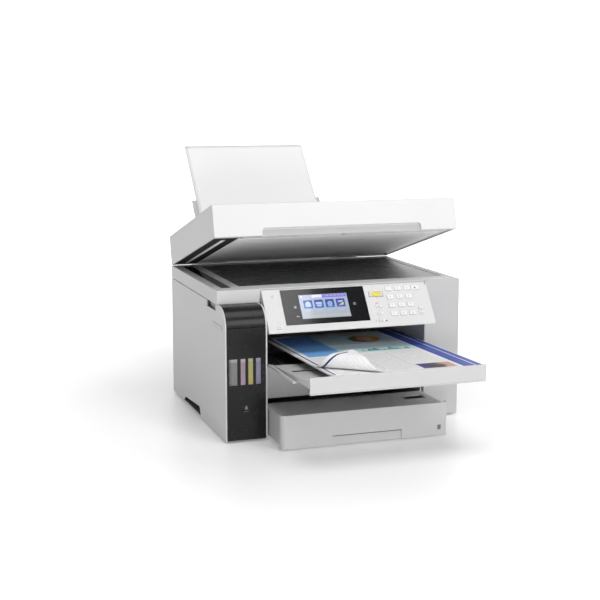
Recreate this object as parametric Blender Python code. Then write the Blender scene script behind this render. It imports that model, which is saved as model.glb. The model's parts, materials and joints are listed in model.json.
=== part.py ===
"""A3+ ink-tank printer with scanner, feeder lid, two paper cassettes and a rear paper support.

Lengths in this script are millimetres in the case datum: x runs right from the left side of the case, y runs back
from the front face of its right column, and z runs up from the surface the feet stand on. MM turns them into
metres, and the empty "printer" shifts the datum so that the world origin is at the bottom centre of the whole.
"""

import math

import bmesh
import bpy
from mathutils import Matrix, Vector

MM = 0.001

# Case
CASE_WIDTH = 515.0
CASE_REAR = 383.0
CASE_TOP = 287.0
WALL = 3.0
GAP = 0.3
FLOOR_BOTTOM = 3.0
FLOOR_TOP = 5.0
SCANNER_BOTTOM = 260.2
COLUMN_LEFT = 438.0
HOUSING_REAR = 442.0

# Ink bay, at the left of the case
BAY_FRONT = -58.0
BAY_RIGHT = 83.4
BAY_ARC_CENTRE = (-18.0, 221.0)
BAY_ARC_RADIUS = 40.0
TANK_TOP = 205.0
TANK_SPANS = {"black": (5.0, 26.3), "magenta": (28.2, 41.8), "yellow": (43.4, 57.0), "cyan": (58.6, 72.2)}
WINDOW_SPANS = ((7.0, 24.0), (30.0, 40.0), (45.2, 55.2), (60.4, 70.4))
WINDOW_HEIGHT = (113.0, 164.0)
CAP_PIVOT = (-15.0, 214.0)
COVER_PIVOT = (-6.0, 259.4)

# Lid
LID_REST_DEG = 15.3
LID_BOTTOM = 287.3
LID_TOP = 352.5

# Control panel: x to the right, down along its face, out from its face
PANEL_SPAN = (88.9, 437.7)
PANEL_TOP = (-0.8, 284.0)
PANEL_LEAN_DEG = 36.0
PANEL_LENGTH = 88.0
PANEL_PIVOT = (-2.6, 280.5)

# Rear paper path: x to the right, up along the sheet, back from the sheet
SHEET_POINT = (430.0, 290.0)
SHEET_LEAN_DEG = 42.0
A3_WIDTH = 297.0
A3_LENGTH = 420.0
SHEET_LEFT = 98.0
SHEET_FOOT = -88.0

# Output trays and cassettes
TRAY_FRONT = -274.0
PRINTS_LEFT = 137.6
CASSETTE_SPAN = (84.0, 426.0)
EXTENSION_FRONT = -141.0

# The farthest points forward and back give the middle of the depth.
SHEET_TOP_Y = SHEET_POINT[0] + (SHEET_FOOT + A3_LENGTH) * math.sin(math.radians(SHEET_LEAN_DEG))
DEPTH_CENTRE = (TRAY_FRONT + SHEET_TOP_Y) / 2


# ---------------------------------------------------------------- mesh helpers


def leaning_frame(point, up_or_down, lean_deg):
    """Frame on a plane that leans back from the vertical: columns are x, along the face and through it."""
    lean = math.radians(lean_deg)
    along = Vector((0.0, math.sin(lean), math.cos(lean))) * up_or_down
    through = Vector((0.0, math.cos(lean), -math.sin(lean))) * up_or_down
    frame = Matrix.Identity(4)
    frame.col[1] = along.to_4d()
    frame.col[2] = through.to_4d()
    frame.col[3] = (0.0, point[0], point[1], 1.0)
    frame[3][1] = frame[3][2] = 0.0
    return frame


DATUM = Matrix.Identity(4)
PANEL = leaning_frame(PANEL_TOP, -1.0, PANEL_LEAN_DEG)
SHEET = leaning_frame(SHEET_POINT, 1.0, SHEET_LEAN_DEG)


def block(x, y, z, frame=DATUM, bevel=0.0, segments=2):
    """A box between the given limits along the frame's three columns."""
    bm = bmesh.new()
    size = Matrix.Diagonal((x[1] - x[0], y[1] - y[0], z[1] - z[0], 1.0))
    middle = Matrix.Translation(((x[0] + x[1]) / 2, (y[0] + y[1]) / 2, (z[0] + z[1]) / 2))
    bmesh.ops.create_cube(bm, size=1.0, matrix=middle @ size)
    if bevel:
        bmesh.ops.bevel(bm, geom=bm.edges[:], offset=bevel, segments=segments, profile=0.5, affect="EDGES")
    bm.transform(frame)
    return bm


def prism(outline, span, plane="YZ"):
    """A closed outline in the YZ, XY or XZ plane, extruded over span along the third axis."""
    place = {
        "YZ": lambda a, b, c: (c, a, b),
        "XY": lambda a, b, c: (a, b, c),
        "XZ": lambda a, b, c: (a, c, b),
    }[plane]
    bm = bmesh.new()
    face = bm.faces.new([bm.verts.new(place(a, b, span[0])) for a, b in outline])
    grown = bmesh.ops.extrude_face_region(bm, geom=[face])
    step = Vector(place(0.0, 0.0, span[1] - span[0]))
    bmesh.ops.translate(bm, vec=step, verts=[v for v in grown["geom"] if isinstance(v, bmesh.types.BMVert)])
    return bm


def arc(centre, radius, start_deg, end_deg, steps):
    """Points along an arc, both ends included."""
    turns = [math.radians(start_deg + (end_deg - start_deg) * i / steps) for i in range(steps + 1)]
    return [(centre[0] + radius * math.cos(t), centre[1] + radius * math.sin(t)) for t in turns]


def turned(profile, centre, axis="X", segments=20):
    """A solid of revolution from (along, radius) pairs that start and end on the axis."""
    bm = bmesh.new()
    points = [bm.verts.new((0.0, radius, along)) for along, radius in profile]
    edges = [bm.edges.new(pair) for pair in zip(points, points[1:])]
    bmesh.ops.spin(
        bm,
        geom=points + edges,
        cent=(0.0, 0.0, 0.0),
        axis=(0.0, 0.0, 1.0),
        angle=math.tau,
        steps=segments,
        use_merge=True,
    )
    bmesh.ops.remove_doubles(bm, verts=bm.verts, dist=0.001)
    turn = {"X": Matrix.Rotation(math.pi / 2, 4, "Y"), "Y": Matrix.Rotation(-math.pi / 2, 4, "X"), "Z": DATUM}[axis]
    bm.transform(Matrix.Translation(centre) @ turn)
    return bm


# ---------------------------------------------------------------- scene helpers


class Body:
    """A moving group: an empty on its joint's axis, with the datum position of that empty."""

    def __init__(self, name, origin=(0.0, 0.0, 0.0), parent=None, turn_deg=0.0):
        self.origin = Vector(origin)
        self.empty = bpy.data.objects.new(name, None)
        self.empty.empty_display_size = 0.02
        bpy.context.scene.collection.objects.link(self.empty)
        if parent:
            self.empty.parent = parent.empty
            self.empty.location = (self.origin - parent.origin) * MM
        self.empty.rotation_euler.x = math.radians(turn_deg)

    def hold(self, name, bm, surface=None):
        """Makes an object of bm, given in the datum, with its origin at the empty."""
        bm.normal_update()
        bmesh.ops.recalc_face_normals(bm, faces=bm.faces)
        bm.transform(Matrix.Scale(MM, 4) @ Matrix.Translation(-self.origin))
        mesh = bpy.data.meshes.new(name)
        bm.to_mesh(mesh)
        bm.free()
        mesh.shade_smooth()
        mesh.set_sharp_from_angle(angle=math.radians(35.0))
        if surface:
            mesh.materials.append(surface)
        obj = bpy.data.objects.new(name, mesh)
        obj.parent = self.empty
        bpy.context.scene.collection.objects.link(obj)
        return obj

    def piece(self, name, bm, surface, add=(), cut=()):
        """One node: bm, with the shapes in add joined to it and then those in cut taken away."""
        obj = self.hold(name, bm, surface)
        for operation, shapes in (("UNION", add), ("DIFFERENCE", cut)):
            for number, shape in enumerate(shapes):
                tool = self.hold(f"{name}_{operation.lower()}_{number}", shape)
                tool.hide_render = True
                tool.display_type = "WIRE"
                boolean = obj.modifiers.new(tool.name, "BOOLEAN")
                boolean.operation = operation
                boolean.solver = "EXACT"
                boolean.object = tool
        return obj


def surface(name, colour, roughness, metallic=0.0, coat=0.0):
    """A Principled material."""
    made = bpy.data.materials.new(name)
    made.use_nodes = True
    shader = made.node_tree.nodes["Principled BSDF"]
    shader.inputs["Base Color"].default_value = (*colour, 1.0)
    shader.inputs["Roughness"].default_value = roughness
    shader.inputs["Metallic"].default_value = metallic
    shader.inputs["Coat Weight"].default_value = coat
    return made


def make_surfaces():
    return {
        "white": surface("white_plastic", (0.86, 0.86, 0.85), 0.45),
        "light": surface("light_grey_plastic", (0.66, 0.66, 0.66), 0.5),
        "grey": surface("mid_grey_plastic", (0.30, 0.30, 0.31), 0.5),
        "black": surface("black_plastic", (0.02, 0.02, 0.022), 0.3),
        "gloss": surface("gloss_black_plastic", (0.01, 0.01, 0.012), 0.08, coat=0.6),
        "glass": surface("bed_glass", (0.05, 0.055, 0.055), 0.05),
        "steel": surface("zinc_plated_steel", (0.55, 0.56, 0.57), 0.35, metallic=1.0),
        "rubber": surface("dark_rubber", (0.03, 0.03, 0.03), 0.85),
        "mat": surface("white_foam_mat", (0.88, 0.88, 0.87), 0.8),
        "paper": surface("paper", (0.90, 0.90, 0.89), 0.85),
        "board": surface("circuit_board", (0.02, 0.16, 0.07), 0.5),
        "tank": surface("clouded_tank_plastic", (0.60, 0.62, 0.66), 0.35),
        "yellow": surface("yellow_key_plastic", (0.80, 0.62, 0.05), 0.4),
    }


# ---------------------------------------------------------------- casing


def rim_outline(rear, top):
    """Side view of the left cover: a curved ink-bay rim in front, a hand grip in the bottom edge."""
    hand_grip = [(136.0, FLOOR_BOTTOM), (146.0, 24.0), (269.0, 16.0), (293.0, FLOOR_BOTTOM)]
    bottom = [(BAY_FRONT, FLOOR_BOTTOM), *hand_grip, (rear, FLOOR_BOTTOM), (rear, top)]
    finger_notch = [(77.0, top), (77.0, top - 12.0), (12.0, top - 12.0), (12.0, top), (-1.0, top)]
    curve = arc(BAY_ARC_CENTRE, BAY_ARC_RADIUS, 90.0, 180.0, 10)
    return bottom + finger_notch + [(-1.0, curve[0][1])] + curve


def make_casing(base, looks):
    step = 80.0
    floor_outline = [(3.3, -55.2), (step, -55.2), (step, 4.0), (511.4, 4.0), (511.4, 379.6), (3.3, 379.6)]
    base.piece("base_pan", prism(floor_outline, (FLOOR_BOTTOM, FLOOR_TOP), "XY"), looks["grey"])
    side_top = SCANNER_BOTTOM - 1.2
    base.piece("left_side_cover", prism(rim_outline(CASE_REAR, side_top), (0.0, WALL)), looks["white"])
    right_outline = [
        (3.8, FLOOR_BOTTOM),
        (136.0, FLOOR_BOTTOM),
        (146.0, 24.0),
        (269.0, 16.0),
        (293.0, FLOOR_BOTTOM),
        (CASE_REAR, FLOOR_BOTTOM),
        (CASE_REAR, side_top),
        (3.8, side_top),
    ]
    base.piece("right_side_cover", prism(right_outline, (CASE_WIDTH - WALL, CASE_WIDTH)), looks["white"])
    inner_wall = [(3.0, 5.3), (379.6, 5.3), (379.6, 190.0), (90.0, 190.0), (90.0, 206.0), (3.0, 206.0)]
    base.piece(
        "right_column_cover",
        block((COLUMN_LEFT, CASE_WIDTH), (0.0, 3.5), (FLOOR_BOTTOM, CASE_TOP - GAP)),
        looks["white"],
        add=[prism(inner_wall, (COLUMN_LEFT, COLUMN_LEFT + WALL))],
    )
    rear_outline = [
        (3.3, 5.3),
        (511.7, 5.3),
        (511.7, 256.0),
        (443.0, 256.0),
        (443.0, 140.0),
        (88.0, 140.0),
        (88.0, 256.0),
        (3.3, 256.0),
    ]
    base.piece(
        "rear_cover",
        prism(rear_outline, (CASE_REAR - WALL, CASE_REAR), "XZ"),
        looks["white"],
        cut=[
            block((447.0, 502.0), (370.0, 390.0), (16.0, 78.0)),
            block((17.0, 47.0), (370.0, 390.0), (21.0, 46.0)),
        ],
    )
    base.piece(
        "rear_feed_housing",
        block((60.0, 446.0), (CASE_REAR + GAP, HOUSING_REAR), (5.3, CASE_TOP - 1.0)),
        looks["white"],
        cut=[
            block((50.0, 456.0), (380.0, 400.0), (255.0, 300.0)),
            block((63.0, 443.0), (380.0, HOUSING_REAR - WALL), (8.3, 252.0)),
            block((84.0, 408.0), (380.0, HOUSING_REAR - WALL), (250.0, 300.0)),
        ],
    )
    base.piece(
        "power_inlet",
        block((17.4, 46.6), (366.0, 384.5), (21.4, 45.6)),
        looks["black"],
        cut=[block((21.0, 43.0), (375.0, 390.0), (25.5, 41.5))],
    )
    foot = [(0.0, 0.0), (0.0, 11.0), (0.6, 12.0), (2.7, 12.0), (2.7, 0.0)]
    for name, x, y in (
        ("foot_front_left", 28.0, -30.0),
        ("foot_front_right", 487.0, 24.0),
        ("foot_rear_left", 28.0, 355.0),
        ("foot_rear_right", 487.0, 355.0),
    ):
        base.piece(name, turned(foot, (x, y, 0.0), "Z", 24), looks["rubber"])


def make_ink_bay(base, looks):
    front_curve = arc(BAY_ARC_CENTRE, BAY_ARC_RADIUS, 90.0, 180.0, 10)
    wall_outline = [
        (BAY_FRONT, 5.3),
        (379.6, 5.3),
        (379.6, 200.0),
        (90.0, 200.0),
        (90.0, 258.0),
        (-1.0, 258.0),
        (-1.0, 261.0),
        *front_curve,
    ]
    base.piece("ink_bay_wall", prism(wall_outline, (BAY_RIGHT - WALL, BAY_RIGHT)), looks["white"])
    base.piece(
        "ink_front_panel",
        block((3.3, 80.1), (BAY_FRONT, BAY_FRONT + 2.5), (5.3, 222.7)),
        looks["black"],
        cut=[block(span, (BAY_FRONT - 5.0, BAY_FRONT + 5.0), WINDOW_HEIGHT) for span in WINDOW_SPANS],
    )
    for colour, span in TANK_SPANS.items():
        middle = sum(span) / 2
        base.piece(
            f"ink_tank_{colour}",
            block(span, (-55.1, 70.0), (40.0, TANK_TOP), bevel=1.2),
            looks["tank"],
            add=[turned([(-2.0, 0.0), (-2.0, 4.5), (6.0, 4.5), (6.0, 0.0)], (middle, -24.0, TANK_TOP), "Z", 16)],
        )
        cap = Body(f"tank_cap_{colour}_hinge", (middle, *CAP_PIVOT), base)
        half = 5.2
        cap.piece(
            f"tank_cap_{colour}",
            block((middle - half, middle + half), (-36.0, -14.0), (211.4, 217.0), bevel=0.8),
            looks["black"],
            add=[block((middle - 3.2, middle + 3.2), (-44.0, -34.0), (214.6, 217.0))],
        )
    cover = Body("ink_cover_hinge", (0.0, *COVER_PIVOT), base)
    outer = arc(BAY_ARC_CENTRE, BAY_ARC_RADIUS - GAP, 176.5, 90.0, 12)
    inner = arc(BAY_ARC_CENTRE, BAY_ARC_RADIUS - GAP - 2.5, 90.0, 176.5, 12)
    rear_edge = [(-5.0, outer[-1][1]), (-5.0, inner[0][1])]
    cover.piece("ink_cover", prism(outer + rear_edge + inner, (3.3, 80.1)), looks["black"])


# ---------------------------------------------------------------- print engine


def make_engine(base, looks):
    rail = [(236.0, 213.0), (238.0, 213.0), (238.0, 254.0), (258.0, 254.0), (258.0, 256.0), (236.0, 256.0)]
    base.piece("carriage_rail", prism(rail, (4.0, 511.0)), looks["steel"])
    base.piece("platen", block((90.0, 436.0), (120.0, 232.0), (193.0, 199.8)), looks["black"])
    base.piece("power_supply", block((446.0, 506.0), (12.0, 130.0), (10.0, 75.0), bevel=1.5), looks["grey"])
    base.piece("main_board", block((506.5, 508.5), (140.0, 370.0), (20.0, 180.0)), looks["board"])
    carriage = Body("print_carriage_slide", (451.0, 182.0, 230.0), base)
    carriage.piece(
        "print_carriage",
        block((396.0, 506.0), (128.0, 235.4), (204.0, 252.0), bevel=3.0),
        looks["black"],
        add=[block((410.0, 492.0), (150.0, 220.0), (201.2, 210.0))],
    )
    pulley = Body("belt_pulley_axle", (60.0, 230.0, 232.0), base)
    groove = [(-4.0, 0.0), (-4.0, 10.0), (-3.0, 10.0), (-2.4, 8.5), (2.4, 8.5), (3.0, 10.0), (4.0, 10.0), (4.0, 0.0)]
    pulley.piece("belt_pulley", turned(groove, (60.0, 230.0, 232.0), "Y", 24), looks["light"])
    feed = Body("paper_feed_roller_axle", (263.0, 246.0, 203.0), base)
    feed_profile = [(-172.0, 0.0), (-172.0, 4.0), (-164.0, 4.0), (-164.0, 8.5), (164.0, 8.5), (164.0, 4.0)]
    feed_profile += [(172.0, 4.0), (172.0, 0.0)]
    feed.piece("paper_feed_roller", turned(feed_profile, (263.0, 246.0, 203.0)), looks["steel"])
    eject = Body("eject_roller_axle", (263.0, 105.0, 202.0), base)
    wheels = [(-172.0, 0.0), (-172.0, 3.0)]
    for middle in (-140.0, -84.0, -28.0, 28.0, 84.0, 140.0):
        wheels += [(middle - 7.0, 3.0), (middle - 7.0, 8.0), (middle + 7.0, 8.0), (middle + 7.0, 3.0)]
    wheels += [(172.0, 3.0), (172.0, 0.0)]
    eject.piece("eject_roller", turned(wheels, (263.0, 105.0, 202.0), segments=16), looks["rubber"])
    tyre = [(-40.0, 0.0), (-40.0, 3.0), (-14.0, 3.0), (-14.0, 12.0), (14.0, 12.0), (14.0, 3.0), (40.0, 3.0), (40.0, 0.0)]
    for name, z in (("pickup_roller_upper", 112.0), ("pickup_roller_lower", 50.0)):
        pick = Body(f"{name}_axle", (255.0, 255.0, z), base)
        pick.piece(name, turned(tyre, (255.0, 255.0, z)), looks["rubber"])
    waste = Body("maintenance_box_slide", (474.5, 382.5, 47.0), base)
    waste.piece(
        "maintenance_box",
        block((448.0, 501.0), (225.0, 382.5), (17.0, 77.0), bevel=1.0),
        looks["grey"],
        cut=[block((462.0, 487.0), (378.0, 390.0), (26.0, 36.0))],
    )


# ---------------------------------------------------------------- paper


def make_cassettes(base, looks):
    left, right = CASSETTE_SPAN
    upper = Body("cassette_upper_slide", (255.0, -15.0, 104.0), base)
    upper.piece(
        "cassette_upper",
        block(CASSETTE_SPAN, (-15.0, 300.0), (71.5, 136.5)),
        looks["light"],
        cut=[
            block((left + 2.5, right - 2.5), (-12.0, 297.5), (74.0, 150.0)),
            block((left + 2.5, right - 2.5), (290.0, 310.0), (90.0, 150.0)),
        ],
    )
    lower = Body("cassette_lower_slide", (255.0, -14.5, 36.0), base)
    lower.piece(
        "cassette_lower",
        block(CASSETTE_SPAN, (-14.5, 300.0), (5.5, 68.0)),
        looks["light"],
        cut=[
            block((left + 2.6, right - 2.6), (-20.0, 297.4), (7.6, 80.0)),
            block((left + 2.6, right - 2.6), (290.0, 310.0), (30.0, 80.0)),
        ],
    )
    lower.piece("lower_paper_stack", block((150.0, 360.0), (-10.0, 287.0), (10.2, 28.0)), looks["paper"])
    drawer = Body("cassette_lower_extension_slide", (255.0, EXTENSION_FRONT, 36.0), lower)
    front, cheeks = EXTENSION_FRONT, EXTENSION_FRONT + 12.0
    face = [(right, cheeks), (left, cheeks)]
    face += arc((left + 10.0, front + 10.0), 10.0, 180.0, 270.0, 6)
    face += arc((right - 10.0, front + 10.0), 10.0, 270.0, 360.0, 6)
    inside = [(right - 4.8, 70.0), (left + 4.8, 70.0), (left + 4.8, front + 6.0), (left + 7.8, front + 3.0)]
    inside += [(right - 7.8, front + 3.0), (right - 4.8, front + 6.0)]
    rebate = [(right - 2.9, 70.0), (left + 2.9, 70.0), (left + 2.9, front + 10.5), (left + 9.5, front + 3.1)]
    rebate += [(right - 9.5, front + 3.1), (right - 2.9, front + 10.5)]
    lid = [(right - 3.2, -18.5), (left + 3.2, -18.5), (left + 3.2, front + 10.7), (left + 9.7, front + 3.4)]
    lid += [(right - 9.7, front + 3.4), (right - 3.2, front + 10.7)]
    drawer.piece(
        "cassette_lower_extension",
        prism(face, (FLOOR_BOTTOM, 68.0), "XY"),
        looks["light"],
        add=[block((left + 3.0, right - 3.0), (cheeks - 1.0, 60.0), (8.0, 60.0))],
        cut=[
            prism(inside, (9.6, 80.0), "XY"),
            prism(rebate, (60.2, 80.0), "XY"),
            block((186.0, 328.0), (front - 5.0, front + 2.6), (0.0, 22.0)),
        ],
    )
    drawer.piece(
        "cassette_lower_cover",
        prism(lid, (60.4, 62.6), "XY"),
        looks["grey"],
        cut=[block((366.0, 408.0), (-76.0, -50.0), (50.0, 70.0))],
    )


def make_output(base, looks):
    rear_stage = Body("output_tray_slide", (265.0, -150.0, 140.0), base)
    rear_stage.piece(
        "output_tray",
        block((97.0, 433.5), (-150.0, 78.0), (139.0, 141.3)),
        looks["light"],
        cut=[block((230.0, 300.0), (40.0, 90.0), (130.0, 150.0))],
    )
    front_stage = Body("output_tray_front_slide", (265.0, TRAY_FRONT, 154.0), rear_stage)
    floor_outline = [(TRAY_FRONT + 1.0, 154.0), (-55.0, 143.4), (-55.0, 146.2), (TRAY_FRONT + 1.0, 156.8)]
    side_outline = [(TRAY_FRONT + 1.0, 150.0), (-55.0, 143.4), (-55.0, 148.0), (-255.0, 159.5), (TRAY_FRONT + 1.0, 166.0)]
    sides = [prism(side_outline, span) for span in ((93.5, 95.6), (434.9, 437.0))]
    front_wall = block((93.5, 437.0), (TRAY_FRONT, TRAY_FRONT + 2.5), (138.0, 170.0))
    front_stage.piece(
        "output_tray_front",
        prism(floor_outline, (94.0, 436.5)),
        looks["light"],
        add=[*sides, front_wall],
        cut=[block((109.0, 164.0), (-136.0, -117.0), (120.0, 180.0))],
    )
    stack_front = TRAY_FRONT + 3.5
    stack_rear = stack_front + A3_LENGTH
    stack_outline = [(stack_front, 166.4), (stack_rear, 156.2), (stack_rear, 158.6), (stack_front, 168.8)]
    front_stage.piece(
        "printed_sheets",
        prism(stack_outline, (PRINTS_LEFT, PRINTS_LEFT + A3_WIDTH)),
        looks["paper"],
    )


def make_rear_support(base, looks):
    base.piece("paper_support", block((88.0, 404.0), (2.0, 170.0), (1.0, 4.0), SHEET), looks["light"])
    upper_stage = Body("paper_support_extension_slide", (246.0, *SHEET_POINT), base)
    upper_stage.piece(
        "paper_support_extension",
        block((150.0, 342.0), (60.0, 280.0), (4.4, 7.0), SHEET),
        looks["light"],
    )
    sides = (("left_edge_guide", SHEET_LEFT - 6.0), ("right_edge_guide", SHEET_LEFT + A3_WIDTH + 0.4))
    for name, x in sides:
        guide = Body(f"{name}_slide", (x, *SHEET_POINT), base)
        guide.piece(name, block((x, x + 5.6), (5.0, 45.0), (-8.0, 0.7), SHEET, bevel=0.8), looks["grey"])
    sheet = Body("feed_sheet_slide", (246.0, *SHEET_POINT), base)
    span = (SHEET_LEFT, SHEET_LEFT + A3_WIDTH)
    sheet.piece("feed_sheet", block(span, (SHEET_FOOT, SHEET_FOOT + A3_LENGTH), (-0.3, 0.3), SHEET), looks["paper"])


# ---------------------------------------------------------------- scanner, lid and panel


def make_scanner(base, looks):
    unit = Body("scanner_hinge", (257.5, 381.5, 261.5), base)
    outline = [(0.0, 0.0), (88.0, 0.0), (88.0, 3.8), (CASE_WIDTH, 3.8), (CASE_WIDTH, CASE_REAR), (0.0, CASE_REAR)]
    unit.piece(
        "scanner_housing",
        prism(outline, (SCANNER_BOTTOM, CASE_TOP), "XY"),
        looks["white"],
        cut=[
            block((22.0, 497.0), (47.5, 353.5), (262.5, 282.5)),
            block((60.5, 492.5), (47.5, 353.5), (280.0, 300.0)),
            block((57.7, 495.3), (44.7, 356.3), (284.4, 300.0)),
        ],
    )
    unit.piece("scanner_glass", block((58.0, 495.0), (45.0, 356.0), (284.7, 286.7)), looks["glass"])
    sensor = Body("scan_carriage_slide", (74.0, 200.0, 272.0), unit)
    sensor.piece("scan_carriage", block((64.0, 84.0), (50.0, 351.0), (264.0, 281.5), bevel=1.0), looks["black"])
    return unit


def make_lid(unit, looks):
    lid = Body("lid_hinge", (257.5, CASE_REAR, CASE_TOP), unit, turn_deg=-LID_REST_DEG)
    lid.piece(
        "lid_shell",
        block((0.0, CASE_WIDTH), (0.0, CASE_REAR), (LID_BOTTOM, LID_TOP), bevel=2.5),
        looks["white"],
        cut=[
            block((3.0, CASE_WIDTH - 3.0), (11.0, 380.0), (280.0, 337.0)),
            block((97.0, 434.0), (-10.0, 8.0), (280.0, 303.3), bevel=6.5, segments=4),
            block((6.0, 424.0), (40.0, 345.0), (340.0, 360.0)),
        ],
    )
    lid.piece("lid_liner", block((3.4, 511.6), (11.4, 379.6), (290.0, 292.0)), looks["white"])
    lid.piece("document_mat", block((57.0, 490.0), (33.0, 345.0), (287.5, 289.6)), looks["mat"])
    feeder_cover = Body("adf_cover_hinge", (12.0, 192.0, 350.0), lid)
    feeder_cover.piece(
        "adf_cover",
        block((8.0, 150.0), (42.0, 343.0), (342.0, 352.2)),
        looks["white"],
        cut=[block((140.0, 155.0), (170.0, 215.0), (338.0, 345.0))],
    )
    feeder_tray = Body("adf_input_tray_hinge", (157.0, 192.0, 348.0), lid)
    feeder_tray.piece("adf_input_tray", block((153.0, 420.0), (60.0, 335.0), (342.0, 351.0)), looks["light"])


KEY_COLUMNS = (353.0, 373.0, 393.0)
KEY_ROWS = (11.5, 30.0, 48.5, 67.0)
FUNCTION_COLUMN = 324.0
FUNCTION_ROWS = (49.3, 64.8, 80.0)
SIDE_KEYS = ((413.0, 57.0), (413.0, 68.5))


def key_places():
    """Middle, width and height of each key of the mat, on the panel's face."""
    numbers = [(x, down, 13.0, 8.5) for down in KEY_ROWS for x in KEY_COLUMNS]
    functions = [(FUNCTION_COLUMN, down, 11.0, 5.5) for down in FUNCTION_ROWS]
    sides = [(x, down, 9.0, 6.0) for x, down in SIDE_KEYS]
    return numbers + functions + sides


def button(x, down, width, height, out, grow=0.0):
    """A key-sized block on the panel's face; out is its inner and outer level."""
    half_width = width / 2 + grow
    half_height = height / 2 + grow
    return block((x - half_width, x + half_width), (down - half_height, down + half_height), out, PANEL)


def make_panel(base, looks):
    panel = Body("control_panel_hinge", (263.3, *PANEL_PIVOT), base)
    lean = math.radians(PANEL_LEAN_DEG)
    toe_y = PANEL_TOP[0] - PANEL_LENGTH * math.sin(lean)
    toe_z = PANEL_TOP[1] - PANEL_LENGTH * math.cos(lean)
    outline = [
        PANEL_TOP,
        (toe_y, toe_z),
        (toe_y, toe_z - 5.8),
        (toe_y + 16.0, toe_z - 5.8),
        (-37.0, 213.8),
        (PANEL_TOP[0], 263.6),
    ]
    singles = {
        "power_button": (112.0, 82.0, 9.0, 6.0),
        "start_button": (324.0, 21.5, 30.0, 11.0),
        "stop_button": (410.5, 12.0, 16.0, 9.0),
    }
    holes = [button(*key, (-20.0, 5.0), grow=0.4) for key in [*key_places(), *singles.values()]]
    panel.piece(
        "control_panel",
        prism(outline, PANEL_SPAN),
        looks["white"],
        cut=[
            block((306.0, 424.0), (4.0, 85.5), (-30.0, -2.4), PANEL),
            block((104.0, 120.0), (76.0, 86.5), (-30.0, -2.4), PANEL),
            block((125.7, 300.3), (1.7, 78.3), (-1.8, 5.0), PANEL),
            *holes,
        ],
    )
    panel.piece("display_glass", block((126.0, 300.0), (2.0, 78.0), (-1.5, 0.1), PANEL), looks["gloss"])
    keypad = Body("keypad_slide", (373.0, -24.0, 252.0), panel)
    first, *rest = [button(*key, (-5.0, 1.2)) for key in key_places()]
    mat = block((316.0, 421.0), (34.0, 84.0), (-6.0, -4.0), PANEL)
    upper_mat = block((344.0, 402.0), (5.0, 36.0), (-6.0, -4.0), PANEL)
    keypad.piece("keypad", mat, looks["light"], add=[upper_mat, first, *rest])
    colours = {"power_button": "light", "start_button": "yellow", "stop_button": "light"}
    for name, (x, down, width, height) in singles.items():
        middle = PANEL @ Vector((x, down, 0.0))
        key = Body(f"{name}_slide", middle, panel)
        key.piece(name, button(x, down, width, height, (-4.0, 1.4)), looks[colours[name]])


def main():
    for old in list(bpy.data.objects):
        bpy.data.objects.remove(old, do_unlink=True)
    looks = make_surfaces()
    base = Body("printer")
    base.empty.location = Vector((-CASE_WIDTH / 2, -DEPTH_CENTRE, 0.0)) * MM
    make_casing(base, looks)
    make_ink_bay(base, looks)
    make_engine(base, looks)
    make_cassettes(base, looks)
    make_output(base, looks)
    make_rear_support(base, looks)
    unit = make_scanner(base, looks)
    make_lid(unit, looks)
    make_panel(base, looks)


main()
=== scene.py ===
"""Looks of the printer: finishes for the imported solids, the trim pieces around them, and the studio."""

import json
import math

import bmesh
import bpy
from bpy.props import FloatProperty, FloatVectorProperty, PointerProperty
from mathutils import Matrix, Vector


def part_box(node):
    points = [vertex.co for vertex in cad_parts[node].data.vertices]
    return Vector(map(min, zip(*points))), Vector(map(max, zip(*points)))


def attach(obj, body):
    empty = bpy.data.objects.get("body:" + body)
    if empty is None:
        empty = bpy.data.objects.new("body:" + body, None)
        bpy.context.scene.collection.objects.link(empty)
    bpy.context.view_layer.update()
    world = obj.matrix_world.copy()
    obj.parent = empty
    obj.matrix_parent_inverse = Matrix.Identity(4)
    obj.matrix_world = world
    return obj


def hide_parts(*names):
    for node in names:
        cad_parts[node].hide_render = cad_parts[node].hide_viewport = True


bl_info = {
    "name": "Inkjet Printer Looks",
    "version": (1, 0, 0),
    "blender": (4, 5, 0),
    "location": "View3D > Sidebar > Printer",
    "description": "Builds the trim, prints and finishes of an inkjet printer around its fixed frame",
    "category": "Object",
}

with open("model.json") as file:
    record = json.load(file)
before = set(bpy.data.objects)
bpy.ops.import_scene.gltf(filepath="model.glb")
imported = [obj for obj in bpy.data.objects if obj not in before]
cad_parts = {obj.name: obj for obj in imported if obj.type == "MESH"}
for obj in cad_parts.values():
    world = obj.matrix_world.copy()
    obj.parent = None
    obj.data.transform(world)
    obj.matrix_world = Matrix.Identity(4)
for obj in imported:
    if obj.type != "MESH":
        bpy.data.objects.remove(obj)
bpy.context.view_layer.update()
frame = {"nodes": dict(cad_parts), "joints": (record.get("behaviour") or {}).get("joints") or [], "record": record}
HINGES = {joint["name"]: joint for joint in frame["joints"]}

MM = 0.001
A3_WIDTH, A3_LENGTH = 297.0, 420.0
SHEET_PITCH = 0.55
STACK_THICKNESS = 2.4
PANEL_LEAN_DEG = 54.0
EASED_ANGLE = math.radians(40.0)

# ---------------------------------------------------------------- frames of reference, in millimetres
# The case frame: x right from the left cover, y back from the right column's front, z up from the floor.

CASE_ORIGIN = Vector((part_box("left_side_cover")[0].x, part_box("right_column_cover")[0].y, 0.0))
CASE = Matrix.Translation(CASE_ORIGIN) @ Matrix.Scale(MM, 4)


def in_case(point):
    """A point of the row frame, in the case frame."""
    return (Vector(point) - CASE_ORIGIN) / MM


def leaning(point, turn_deg):
    """A frame at a point of the case frame, turned about x: y runs up the face and z out of it."""
    return CASE @ Matrix.Translation(point) @ Matrix.Rotation(math.radians(turn_deg), 4, "X")


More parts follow.
